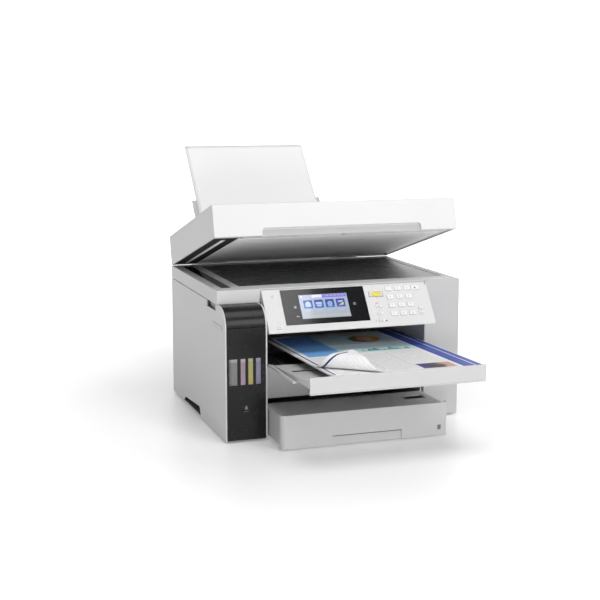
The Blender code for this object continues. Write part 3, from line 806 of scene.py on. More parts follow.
SLOT_FINISHES = {
    "white_plastic": "shell white",
    "light_grey_plastic": "tray grey",
    "mid_grey_plastic": "fitting grey",
    "black_plastic": "bay black",
    "gloss_black_plastic": "gloss black",
    "bed_glass": "bed glass",
    "zinc_plated_steel": "plated steel",
    "dark_rubber": "black rubber",
    "white_foam_mat": "mat white",
    "paper": "paper stack",
    "circuit_board": "solder mask",
    "yellow_key_plastic": "key yellow",
}
NODE_FINISHES = {
    "cassette_lower_cover": "cover grey",
    "lid_shell": "lid white",
    "control_panel": "lid white",
    "adf_cover": "lid white",
    "feed_sheet": "blank paper",
    "right_column_cover": "column white",
    "output_tray": "dull black",
    "keypad": "key white",
    "stop_button": "key white",
    "power_button": "key white",
    "print_carriage": "dull black",
    "platen": "dull black",
    "scan_carriage": "dull black",
    "left_edge_guide": "soft grey",
    "right_edge_guide": "soft grey",
}
SHELL_NODES = (
    "left_side_cover",
    "right_side_cover",
    "right_column_cover",
    "rear_cover",
    "rear_feed_housing",
    "scanner_housing",
    "cassette_lower_extension",
    "output_tray_front",
)
RING_FACED_NODES = ("lid_shell",)
SHARP_NODES = ("display_glass", "scanner_glass", "main_board", "feed_sheet", "lower_paper_stack", "ink_front_panel")


# ---------------------------------------------------------------- operators


class PrinterOperator:
    """What the printer's operators share."""

    bl_options = {"REGISTER", "UNDO"}

    def execute(self, context):
        self.build()
        return {"FINISHED"}


class PRINTER_OT_finishes(PrinterOperator, bpy.types.Operator):
    """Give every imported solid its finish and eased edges"""

    bl_idname = "printer.finishes"
    bl_label = "Solid finishes"

    def build(self):
        slots = {part["node"]: part["material_slot"] for part in frame["record"]["subparts"]}
        for name, node in frame["nodes"].items():
            finish = NODE_FINISHES.get(name)
            if name.startswith("ink_tank_"):
                finish = name.removeprefix("ink_tank_") + " tank"
            node.data.materials.clear()
            node.data.materials.append(finish_named(finish or SLOT_FINISHES[slots[name]]))
            self.ease(name, node)

    @staticmethod
    def ease(name, node):
        """Joins the loose triangles into faces and rounds the edges between them."""
        node.data.shade_smooth()
        weld = node.modifiers.new("weld", "WELD")
        weld.merge_threshold = 1e-6
        if name not in RING_FACED_NODES:
            faces = node.modifiers.new("faces", "DECIMATE")
            faces.decimate_type, faces.angle_limit = "DISSOLVE", math.radians(0.5)
        edge = sizes().shell_edge if name in SHELL_NODES else sizes().trim_edge
        if name in SHARP_NODES:
            edge = 0.2 * MM
        ease = node.modifiers.new("eased edges", "BEVEL")
        ease.width, ease.segments, ease.limit_method = edge, 3, "ANGLE"
        ease.angle_limit = EASED_ANGLE
        ease.harden_normals = True
        fair = node.modifiers.new("fair shading", "WEIGHTED_NORMAL")
        fair.mode, fair.weight, fair.keep_sharp = "FACE_AREA", 100, False


class PRINTER_OT_prints(PrinterOperator, bpy.types.Operator):
    """Lay the printed sheets on the output tray, the top one with a curled corner"""

    bl_idname = "printer.prints"
    bl_label = "Prints"

    CURL_LEFT, CURL_FRONT = 104.0, 112.0
    CURL_TURN = math.radians(172.0)
    CURL_EASE, CURL_STEPS = 14.0, 120

    def build(self):
        bm = bmesh.new()
        box(bm, (0.3, A3_WIDTH - 0.3), (0.2, A3_LENGTH - 0.2), (-2.3, -0.62), radius=0.3, axis="Z", segments=2)
        settle(
            "print_stack",
            bm,
            PRINTS,
            ["paper stack"],
            "output_tray_front",
            replaces=("printed_sheets",),
        )
        thick = sizes().paper_thickness
        under = self.page("second_print", -0.45, curled=False)
        top = self.page("top_print", -0.05, curled=True)
        for piece, rest in ((under, "print_stack"), (top, "second_print")):
            wall = piece.modifiers.new("thickness", "SOLIDIFY")
            wall.thickness, wall.offset, wall.material_offset, wall.material_offset_rim = thick, -1.0, 1, 1

    def page(self, name, level, curled):
        bm = sheet_grid(*((90, 126) if curled else (30, 42)))
        path = self.curl_path()
        for vert in bm.verts:
            vert.co.z = level + 0.25 * (1.0 - math.cos(vert.co.x / 34.0)) * (vert.co.y / A3_LENGTH) * curled
            if curled:
                self.curl(vert, path)
        piece = settle(
            name, bm, PRINTS, ["printed page", "page underside"], "output_tray_front", closed=False
        )
        piece.data.shade_smooth()
        return piece

    def curl_path(self):
        """Way out from the fold and height above the sheet for each millimetre past the fold."""
        radius = sizes().curl_radius / MM
        x = z = angle = 0.0
        path = [(0.0, 0.0)]
        for step in range(self.CURL_STEPS):
            angle = min(self.CURL_TURN, angle + min(1.0, (step + 1) / self.CURL_EASE) / radius)
            x += math.cos(angle)
            z += math.sin(angle)
            path.append((x, z))
        return path

    def curl(self, vert, path):
        """Rolls what lies past the fold line, which cuts off the front-left corner."""
        a, b = self.CURL_LEFT, self.CURL_FRONT
        length = math.hypot(a, b)
        out = Vector((-a / length, -b / length, 0.0))
        past = (vert.co - Vector((0.0, a, vert.co.z))).dot(out)
        if past <= 0.0:
            return
        step = min(int(past), len(path) - 2)
        share = past - step
        x = path[step][0] * (1 - share) + path[step + 1][0] * share
        z = path[step][1] * (1 - share) + path[step + 1][1] * share
        vert.co += out * (x - past)
        vert.co.z += z


class PRINTER_OT_feed_sheet(PrinterOperator, bpy.types.Operator):
    """Stand the blank sheet in the rear support"""

    bl_idname = "printer.feed_sheet"
    bl_label = "Blank sheet"

    def build(self):
        bm = sheet_grid(24, 40)
        left = in_case(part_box("feed_sheet")[0]).x
        for vert in bm.verts:
            rise = max(0.0, vert.co.y / A3_LENGTH - 0.5)
            vert.co.z = 0.35 + 2.2 * rise * rise
            vert.co.x += left
        piece = settle(
            "blank_sheet", bm, FEED, ["blank paper"], "feed_sheet", replaces=("feed_sheet",), closed=False
        )
        piece.data.shade_smooth()
        wall = piece.modifiers.new("thickness", "SOLIDIFY")
        wall.thickness, wall.offset = sizes().paper_thickness, 0.0


SCREEN_X, SCREEN_DOWN = (161.5, 262.0), (15.0, 66.5)
TILE_COUNT, TILE_PITCH, TILE_WIDTH = 4, 22.6, 18.4
KEY_COLUMNS = (353.0, 373.0, 393.0)
KEY_ROWS = (11.5, 30.0, 48.5, 67.0)
KEY_LEGENDS = ("123", "456", "789", "*0#")
FUNCTION_COLUMN = 324.0
FUNCTION_ROWS = (49.3, 64.8, 80.0)
SIDE_KEYS = ((413.0, 57.0), (413.0, 68.5))
KEY_LIFT = 1.2


class PRINTER_OT_display(PrinterOperator, bpy.types.Operator):
    """Light the touch screen and mark its touch keys"""

    bl_idname = "printer.display"
    bl_label = "Display"

    def build(self):
        self.screen()
        self.tiles()
        self.touch_keys()

    @staticmethod
    def screen():
        """The lit page with its header, text lines and foot bar, on the display glass."""
        (left, right), (top, bottom) = SCREEN_X, SCREEN_DOWN
        bm = bmesh.new()
        plate(bm, rounded((left, right), (-bottom, -top), 0.8), 0.1, 0.22, slot=0)
        plate(bm, rounded((left + 27.0, right - 1.0), (-22.0, -top - 0.8), 0.5), 0.2, 0.30, slot=2)
        plate(bm, rounded((left + 48.0, right - 1.4), (-22.6, -top - 0.5), 0.5), 0.25, 0.34, slot=1)
        for x in (left + 58.0, left + 66.0, left + 74.0, left + 82.0, left + 90.0):
            plate(bm, rounded((x, x + 3.4), (-19.4, -18.4), 0.3), 0.3, 0.38, slot=2)
        plate(bm, rounded((left + 3.5, left + 7.5), (-21.0, -16.8), 1.4), 0.2, 0.32, slot=3)
        plate(
            bm,
            [(left + 1.0, -bottom + 1.0), (right - 0.6, -bottom + 1.0), (right - 0.6, -58.6), (left + 1.0, -60.2)],
            0.2,
            0.3,
            slot=3,
        )
        for x in (left + 3.0, left + 11.0):
            plate(bm, rounded((x, x + 5.0), (-65.0, -61.6), 0.6), 0.25, 0.36, slot=0)
        for index in range(TILE_COUNT):
            x = left + 10.5 + TILE_PITCH * index
            for row, width in ((48.0, 13.0), (50.6, 9.0)):
                plate(bm, rounded((x, x + width), (-row - 0.9, -row), 0.3), 0.2, 0.28, slot=3)
        plate(
            bm,
            [(left + 47.5, -57.0), (left + 49.5, -55.2), (left + 51.5, -57.0), (left + 49.5, -56.2)],
            0.2,
            0.3,
            slot=3,
        )
        settle(
            "screen_page",
            bm,
            PANEL,
            ["screen page", "screen header", "screen header pale", "screen grey"],
            "control_panel",
        )

    @staticmethod
    def tiles():
        """Four task tiles with plain pictograms."""
        left = SCREEN_X[0]
        bm = bmesh.new()
        for index in range(TILE_COUNT):
            x = left + 7.6 + TILE_PITCH * index
            violet = index == TILE_COUNT - 1
            plate(bm, rounded((x, x + TILE_WIDTH), (-44.6, -26.8), 1.4), 0.2, 0.34, slot=1 if violet else 0)
        x = left + 7.6
        box(bm, (x + 3.4, x + 15.0), (-41.6, -33.0), (0.3, 0.46), radius=1.0, segments=2, slot=2)
        box(bm, (x + 5.6, x + 12.8), (-34.0, -30.0), (0.3, 0.48), radius=0.6, segments=2, slot=2)
        x += TILE_PITCH
        box(bm, (x + 2.8, x + 15.6), (-36.4, -32.0), (0.3, 0.46), radius=1.2, segments=2, slot=2)
        plate(bm, [(x + 5.0, -41.4), (x + 13.4, -41.4), (x + 15.0, -37.4), (x + 3.4, -37.4)], 0.3, 0.46, slot=2)
        x += TILE_PITCH
        ring(bm, (x + 9.2, -36.0, 0.4), 2.8, 4.8, 0.16, slot=2)
        rod(bm, (x + 9.2, -36.0, 0.4), 1.6, 0.16, slot=2)
        box(bm, (x + 4.0, x + 14.4), (-42.6, -41.2), (0.3, 0.46), radius=0.4, segments=2, slot=2)
        x += TILE_PITCH
        plate(bm, [(x + 4.0, -42.0), (x + 14.6, -40.0), (x + 15.4, -34.4), (x + 10.0, -37.0)], 0.3, 0.46, slot=3)
        plate(bm, [(x + 3.4, -31.4), (x + 13.6, -30.6), (x + 14.8, -33.4), (x + 5.0, -34.6)], 0.3, 0.46, slot=2)
        settle(
            "screen_tiles",
            bm,
            PANEL,
            ["screen tile", "screen tile violet", "screen icon", "screen green"],
            "control_panel",
        )

    @staticmethod
    def touch_keys():
        """Home, back and help marks printed under the glass."""
        bm = bmesh.new()
        roof = [(147.6, -39.6), (151.0, -36.6), (154.4, -39.6), (153.2, -39.6), (151.0, -37.8), (148.8, -39.6)]
        plate(bm, roof, 0.09, 0.16)
        box(bm, (149.0, 153.0), (-42.6, -39.8), (0.09, 0.16), radius=0.3, segments=2)
        plate(
            bm,
            [
                (149.6, -60.5),
                (152.4, -58.2),
                (152.4, -59.8),
                (156.4, -59.8),
                (156.4, -61.2),
                (152.4, -61.2),
                (152.4, -62.8),
            ],
            0.09,
            0.16,
        )
        ring(bm, (274.8, -39.5, 0.125), 2.0, 2.7, 0.07)
        lettering(bm, "?", 3.6, (274.8, -39.5), 0.09, 0.16)
        settle("touch_key_marks", bm, PANEL, ["touch icon"], "control_panel")


class PRINTER_OT_keys(PrinterOperator, bpy.types.Operator):
    """Print the key legends and the panel's small marks"""

    bl_idname = "printer.keys"
    bl_label = "Keys"

    def build(self):
        self.number_keys()
        self.single_keys()
        self.panel_marks()

    @staticmethod
    def number_keys():
        low, high = KEY_LIFT - 0.02, KEY_LIFT + 0.08
        bm = bmesh.new()
        for row, legends in zip(KEY_ROWS, KEY_LEGENDS):
            for column, legend in zip(KEY_COLUMNS, legends):
                lettering(bm, legend, 5.2, (column, -row), low, high)
        for index, row in enumerate(FUNCTION_ROWS):
            x = FUNCTION_COLUMN
            if index == 0:
                plate(bm, [(x - 2.6, -row + 1.2), (x + 2.6, -row + 1.2), (x, -row - 1.6)], low, high)
            elif index == 1:
                ring(bm, (x, -row, (low + high) / 2), 1.1, 1.7, high - low, sides=16)
            else:
                for step in (-2.0, 0.6):
                    box(
                        bm,
                        (x + step, x + step + 1.5),
                        (-row - 1.3, -row + 1.3),
                        (low, high),
                        radius=0.2,
                        segments=2,
                    )
        for x, row in SIDE_KEYS:
            box(bm, (x - 2.6, x + 2.6), (-row - 0.45, -row + 0.45), (low, high), radius=0.2, segments=2)
        settle("key_legends", bm, PANEL, ["legend grey"], "keypad")

    @staticmethod
    def single_keys():
        """The start key's round-ended crown, and the marks on the start, stop and power keys."""
        bm = bmesh.new()
        box(bm, (309.4, 338.6), (-26.8, -16.2), (-0.4, 0.9), radius=2.0, segments=4, slot=1)
        plate(bm, lens(324.0, -21.5, 25.0, 10.2), 0.8, 1.7)
        settle(
            "start_key_crown",
            bm,
            PANEL,
            ["key yellow", "lid white"],
            "start_button",
            replaces=("start_button",),
            bevel=0.5,
        )
        bm = bmesh.new()
        plate(bm, [(322.4, -19.6), (326.2, -21.5), (322.4, -23.4)], 1.85, 1.98)
        settle("start_key_mark", bm, PANEL, ["legend pale"], "start_button")
        bm = bmesh.new()
        plate(bm, [(408.0, -13.6), (413.0, -13.6), (410.5, -9.6)], 1.38, 1.5)
        settle("stop_key_mark", bm, PANEL, ["legend dark"], "stop_button")
        bm = bmesh.new()
        ring(bm, (112.0, -82.0, 1.44), 1.0, 1.6, 0.1, sides=18)
        box(bm, (111.75, 112.25), (-81.9, -79.9), (1.39, 1.5), radius=0.1, segments=2)
        settle("power_key_mark", bm, PANEL, ["legend grey"], "power_button")

    @staticmethod
    def panel_marks():
        """Hairline key surrounds, lamps and short rules in place of labels."""
        bm = bmesh.new()
        low, high = -0.03, 0.09
        rules = [(321.0, 3.4, 9.0), (319.5, 9.9, 8.0), (324.7, 38.6, 10.0), (325.2, 58.6, 9.0), (324.3, 72.6, 9.0)]
        rules += [(410.5, 19.4, 9.0), (112.0, 71.0, 7.0), (413.0, 51.6, 7.0), (413.0, 63.2, 6.0)]
        rules += [(x, down + 6.4, 5.0) for down in KEY_ROWS for x in KEY_COLUMNS]
        for x, down, width in rules:
            box(
                bm,
                (x - width / 2, x + width / 2),
                (-down - 0.35, -down + 0.35),
                (low, high),
                radius=0.2,
                segments=2,
            )
        settle("panel_rules", bm, PANEL, ["legend pale"], "control_panel")
        bm = bmesh.new()
        for x, down in ((324.6, 30.2), (331.0, 30.2), (311.8, 80.0), (404.0, 26.0)):
            rod(bm, (x, -down, 0.1), 0.8, 0.3, sides=12, lip=0.1)
        box(bm, (434.0, 436.0), (-5.2, -1.4), (low, high), radius=0.6, segments=2)
        plate(bm, oval(333.7, -81.0, 3.4, 3.4, 14), low, high)
        settle("panel_lamps", bm, PANEL, ["legend dark"], "control_panel")
        bm = bmesh.new()
        box(bm, (318.6, 325.6), (-42.4, -41.2), (low, high), radius=0.3, segments=2)
        settle("panel_copy_rule", bm, PANEL, ["legend red"], "control_panel")
        bm = bmesh.new()
        ring(bm, (109.0, -15.0, 0.1), 2.6, 3.2, 0.3, sides=20)
        box(bm, (106.9, 111.1), (-15.9, -14.1), (-0.05, 0.25), radius=0.6, segments=3)
        settle("panel_touch_mark", bm, PANEL, ["legend pale"], "control_panel")


class PRINTER_OT_ink_bay(PrinterOperator, bpy.types.Operator):
    """Glaze the tank windows and dress the tanks, caps and cover"""

    bl_idname = "printer.ink_bay"
    bl_label = "Ink bay"

    CAP_Y = (-44.0, -14.0)

    def build(self):
        front = in_case(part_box("ink_front_panel")[0]).y
        for colour, span, *_ in WINDOWS:
            bm = bmesh.new()
            x = (span[0] + 0.25, span[1] - 0.25)
            z = (WINDOW_HEIGHT[0] + 0.25, WINDOW_HEIGHT[1] - 0.25)
            box(bm, x, (front + 0.35, front + 2.1), z, radius=0.9, axis="Y", segments=3)
            settle(
                f"tank_window_{colour}",
                bm,
                CASE,
                [f"{colour} window"],
                "base",
                bevel=0.4,
            )
        self.front_marks(front)
        for colour, *_ in WINDOWS:
            self.filler(colour)
        self.cover_trim()

    @staticmethod
    def front_marks(front):
        bm = bmesh.new()
        for colour, span, *_ in WINDOWS:
            for z in (118.5, 160.0):
                box(
                    bm,
                    (span[0] + 0.6, span[0] + 3.4),
                    (front + 0.25, front + 0.5),
                    (z - 0.3, z + 0.3),
                    radius=0.1,
                    segments=2,
                )
        settle("level_marks", bm, CASE, ["legend grey"], "base")
        bm = bmesh.new()
        drop = [(41.0, 73.5), *arc((41.0, 67.4), 3.1, range(35, -216, -25))]
        plate(bm, drop, front - 0.18, front + 0.3, axis="Y")
        box(bm, (36.0, 46.0), (front - 0.16, front + 0.3), (60.6, 61.3), radius=0.2, segments=2)
        settle("ink_drop_mark", bm, CASE, ["fitting grey"], "base")
        bm = bmesh.new()
        for x in (8.2, 10.6):
            box(bm, (x, x + 0.5), (front - 0.12, front + 0.3), (8.0, 221.0), radius=0.1, segments=2)
        settle("ink_front_ribs", bm, CASE, ["bay black"], "base")

    def filler(self, colour):
        """A filler neck on the tank and a coloured collar and knurl on its cap."""
        low, high = (in_case(corner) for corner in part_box(f"tank_cap_{colour}"))
        x, y = (low.x + high.x) / 2, (self.CAP_Y[0] + self.CAP_Y[1]) / 2
        bm = bmesh.new()
        radius = min(6.0, (high.x - low.x) / 2 - 0.6)
        ring(bm, (x, y, 207.9), radius - 1.6, radius - 0.2, 5.6, sides=28)
        settle(f"filler_neck_{colour}", bm, CASE, ["dull black"], "base")
        bm = bmesh.new()
        ring(bm, (x, y, high.z + 0.35), radius - 2.2, radius - 0.6, 0.9, sides=28)
        box(
            bm,
            (x - 1.2, x + 1.2),
            (self.CAP_Y[0] + 1.0, self.CAP_Y[0] + 5.0),
            (high.z - 0.1, high.z + 0.7),
            radius=0.5,
            segments=2,
        )
        settle(
            f"cap_collar_{colour}",
            bm,
            CASE,
            [f"{colour} ring"],
            f"tank_cap_{colour}",
            bevel=0.2,
        )

    @staticmethod
    def cover_trim():
        """The pins that the ink cover turns on."""
        pivot = in_case(HINGES["ink_cover_hinge"]["pos_m"])
        bm = bmesh.new()
        for x in (6.2, 77.2):
            rod(bm, (x, pivot.y, pivot.z - 1.2), 1.3, 3.0, axis="X", sides=18, lip=0.3)
        settle("ink_cover_pins", bm, CASE, ["dull black"], "ink_cover")


class PRINTER_OT_scanner(PrinterOperator, bpy.types.Operator):
    """Trim the scanner bed, its feeder window and the scan carriage"""

    bl_idname = "printer.scanner"
    bl_label = "Scanner bed"

    def build(self):
        top = in_case(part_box("scanner_housing")[1]).z
        self.bed_strips(top)
        self.carriage()
        self.hinge_blocks()

    @staticmethod
    def bed_strips(top):
        """Grey rules round the glass, a black feeder window and the corner mark."""
        low, high = top - 0.3, top + 0.2
        bm = bmesh.new()
        box(bm, (40.0, 57.4), (40.0, 361.0), (low, high), radius=1.0, segments=3)
        box(bm, (57.6, 501.0), (40.0, 44.6), (low, high), radius=1.0, segments=3)
        box(bm, (57.6, 501.0), (356.4, 361.0), (low, high), radius=1.0, segments=3)
        box(bm, (495.4, 501.0), (44.8, 356.2), (low, high), radius=1.0, segments=3)
        settle("bed_rules", bm, CASE, ["tray grey"], "scanner_unit", bevel=0.1)
        bm = bmesh.new()
        box(bm, (19.0, 38.5), (34.0, 367.0), (low, high), radius=1.4, segments=3)
        settle("feeder_window", bm, CASE, ["gloss black"], "scanner_unit", bevel=0.1)
        bm = bmesh.new()
        for index in range(13):
            y = 60.0 + 22.0 * index
            box(bm, (41.0, 43.6 if index % 2 else 45.6), (y - 0.25, y + 0.25), (top + 0.1, top + 0.25))
        for index in range(18):
            x = 80.0 + 22.0 * index
            box(bm, (x - 0.25, x + 0.25), (41.0, 42.4 if index % 2 else 43.4), (top + 0.1, top + 0.25))
        plate(bm, [(47.0, 352.0), (53.0, 352.0), (53.0, 346.0)], top + 0.1, top + 0.25)
        settle("bed_scale_marks", bm, CASE, ["legend grey"], "scanner_unit")
        bm = bmesh.new()
        for x, y in ((9.0, 18.0), (9.0, 60.0), (505.0, 18.0), (505.0, 360.0), (9.0, 360.0)):
            rod(bm, (x, y, top + 0.02), 3.0, 0.42, sides=20, lip=0.12)
        settle("bed_stop_pads", bm, CASE, ["soft grey"], "scanner_unit")

    @staticmethod
    def carriage():
        low, high = (in_case(corner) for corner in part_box("scan_carriage"))
        bm = bmesh.new()
        box(
            bm,
            (low.x + 3.0, low.x + 6.0),
            (low.y + 4.0, high.y - 4.0),
            (high.z - 0.2, high.z + 0.6),
            radius=0.5,
            segments=2,
        )
        box(
            bm,
            (high.x - 9.0, high.x - 5.0),
            (low.y + 4.0, high.y - 4.0),
            (high.z - 0.2, high.z + 0.4),
            radius=0.5,
            segments=2,
        )
        settle("scan_lamp", bm, CASE, ["mat white"], "scan_carriage")

    @staticmethod
    def hinge_blocks():
        """Two hinge brackets behind the bed, inside the rear notch."""
        bm = bmesh.new()
        for x in (92.0, 392.0):
            box(bm, (x, x + 30.0), (383.1, 389.6), (263.0, 279.0), radius=1.6, axis="X", segments=3)
            for step in (7.0, 23.0):
                rod(bm, (x + step, 389.8, 271.0), 2.1, 0.8, axis="Y", sides=16, lip=0.2)
        settle("lid_hinge_brackets", bm, CASE, ["fitting grey"], "scanner_unit", bevel=0.4)


class PRINTER_OT_lid(PrinterOperator, bpy.types.Operator):
    """Trim the lid: its underside, grip, feeder window and feeder top"""

    bl_idname = "printer.lid"
    bl_label = "Document lid"

    def build(self):
        self.grip()
        self.underside()
        self.feeder_top()

    @staticmethod
    def grip():
        """A grey plate in the front grip's recess: painted shade."""
        bm = bmesh.new()
        outline = [(97.2, 287.6), (433.8, 287.6), (433.8, 296.0)]
        outline += arc((426.6, 296.2), 7.0, range(10, 91, 16))
        outline += arc((104.4, 296.2), 7.0, range(90, 171, 16))
        outline += [(97.2, 296.0)]
        plate(bm, outline, 6.6, 8.3, axis="Y")
        settle("lid_grip_lining", bm, LID, ["shell recess"], "lid")

    @staticmethod
    def underside():
        bm = bmesh.new()
        box(bm, (4.0, 54.0), (12.2, 374.0), (288.3, 289.95), radius=2.0, segments=3)
        for y in range(30, 360, 22):
            box(bm, (8.0, 17.0), (y, y + 9.0), (287.9, 288.6), radius=0.8, segments=2)
        box(bm, (20.0, 37.0), (34.0, 362.0), (287.8, 288.6), radius=1.0, segments=2)
        settle("feeder_underside", bm, LID, ["dull black"], "lid", bevel=0.3)
        bm = bmesh.new()
        box(bm, (24.6, 32.4), (40.0, 356.0), (287.55, 288.0), radius=0.6, segments=2)
        settle("feeder_backing_bar", bm, LID, ["mat white"], "lid")
        bm = bmesh.new()
        box(bm, (55.5, 492.0), (26.0, 32.4), (288.3, 289.95), radius=0.8, segments=2)
        box(bm, (490.6, 496.4), (33.0, 345.0), (288.3, 289.95), radius=0.8, segments=2)
        box(bm, (55.5, 492.0), (345.6, 351.6), (288.3, 289.95), radius=0.8, segments=2)
        settle("mat_edge_frame", bm, LID, ["shell white"], "lid", bevel=0.3)
        bm = bmesh.new()
        for x, y in ((504.0, 20.0), (504.0, 362.0), (60.0, 19.0), (272.0, 19.0)):
            rod(bm, (x, y, 288.9), 3.6, 2.2, sides=22, top=3.0, lip=0.4)
        settle("lid_bumpers", bm, LID, ["grey rubber"], "lid")
        # The hinge plates' grey is painted shade on the lid's underside.
        bm = bmesh.new()
        for x in (92.0, 392.0):
            box(bm, (x, x + 30.0), (360.0, 379.0), (287.7, 290.0), radius=1.4, segments=2)
            rod(bm, (x + 15.0, 369.0, 287.7), 2.2, 0.7, sides=16, lip=0.2)
        settle("lid_hinge_plates", bm, LID, ["shell recess"], "lid", bevel=0.3)

    @staticmethod
    def feeder_top():
        """Edge guides, ribs, seams and rollers of the sheet feeder on top of the lid."""
        bm = bmesh.new()
        for y in (100.0, 285.0):
            box(bm, (176.0, 214.0), (y, y + 3.2), (350.8, 352.5), radius=0.7, axis="Z", segments=2)
            box(
                bm,
                (176.0, 214.0),
                (y - 12.0, y + 12.0) if y > 200 else (y - 8.0, y + 12.0),
                (350.8, 351.5),
                radius=2.0,
                segments=3,
            )
        settle("feeder_edge_guides", bm, LID, ["soft grey"], "adf_input_tray", bevel=0.25)
        bm = bmesh.new()
        for index in range(6):
            x = 236.0 + 27.0 * index
            box(bm, (x, x + 1.4), (78.0, 318.0), (350.85, 351.6), radius=0.5, segments=2)
        plate(
            bm,
            [
                (222.0, 196.0),
                (232.0, 189.0),
                (232.0, 194.6),
                (252.0, 194.6),
                (252.0, 197.4),
                (232.0, 197.4),
                (232.0, 203.0),
            ],
            350.9,
            351.3,
        )
        settle("feeder_tray_ribs", bm, LID, ["tray grey"], "adf_input_tray")
        bm = bmesh.new()
        for y in (70.0, 305.0):
            box(bm, (16.0, 142.0), (y, y + 1.2), (352.1, 352.45), radius=0.4, segments=2)
        box(bm, (128.0, 139.5), (172.0, 213.0), (351.9, 352.45), radius=2.0, segments=3)
        settle("feeder_cover_seams", bm, LID, ["soft grey"], "adf_cover")
        bm = bmesh.new()
        for y in (120.0, 185.0, 250.0):
            rod(bm, (100.0, y + 7.0, 339.6), 2.0, 16.0, axis="Y", sides=20, lip=0.4)
        settle("feeder_rollers", bm, LID, ["grey rubber"], "lid")
        bm = bmesh.new()
        for x in (424.6, 430.0):
            box(bm, (x, x + 1.0), (62.0, 330.0), (352.3, 352.7), radius=0.4, segments=2)
        box(bm, (452.0, 492.0), (120.0, 260.0), (352.2, 352.9), radius=4.0, segments=4)
        settle("lid_top_relief", bm, LID, ["lid white"], "lid", bevel=0.2)


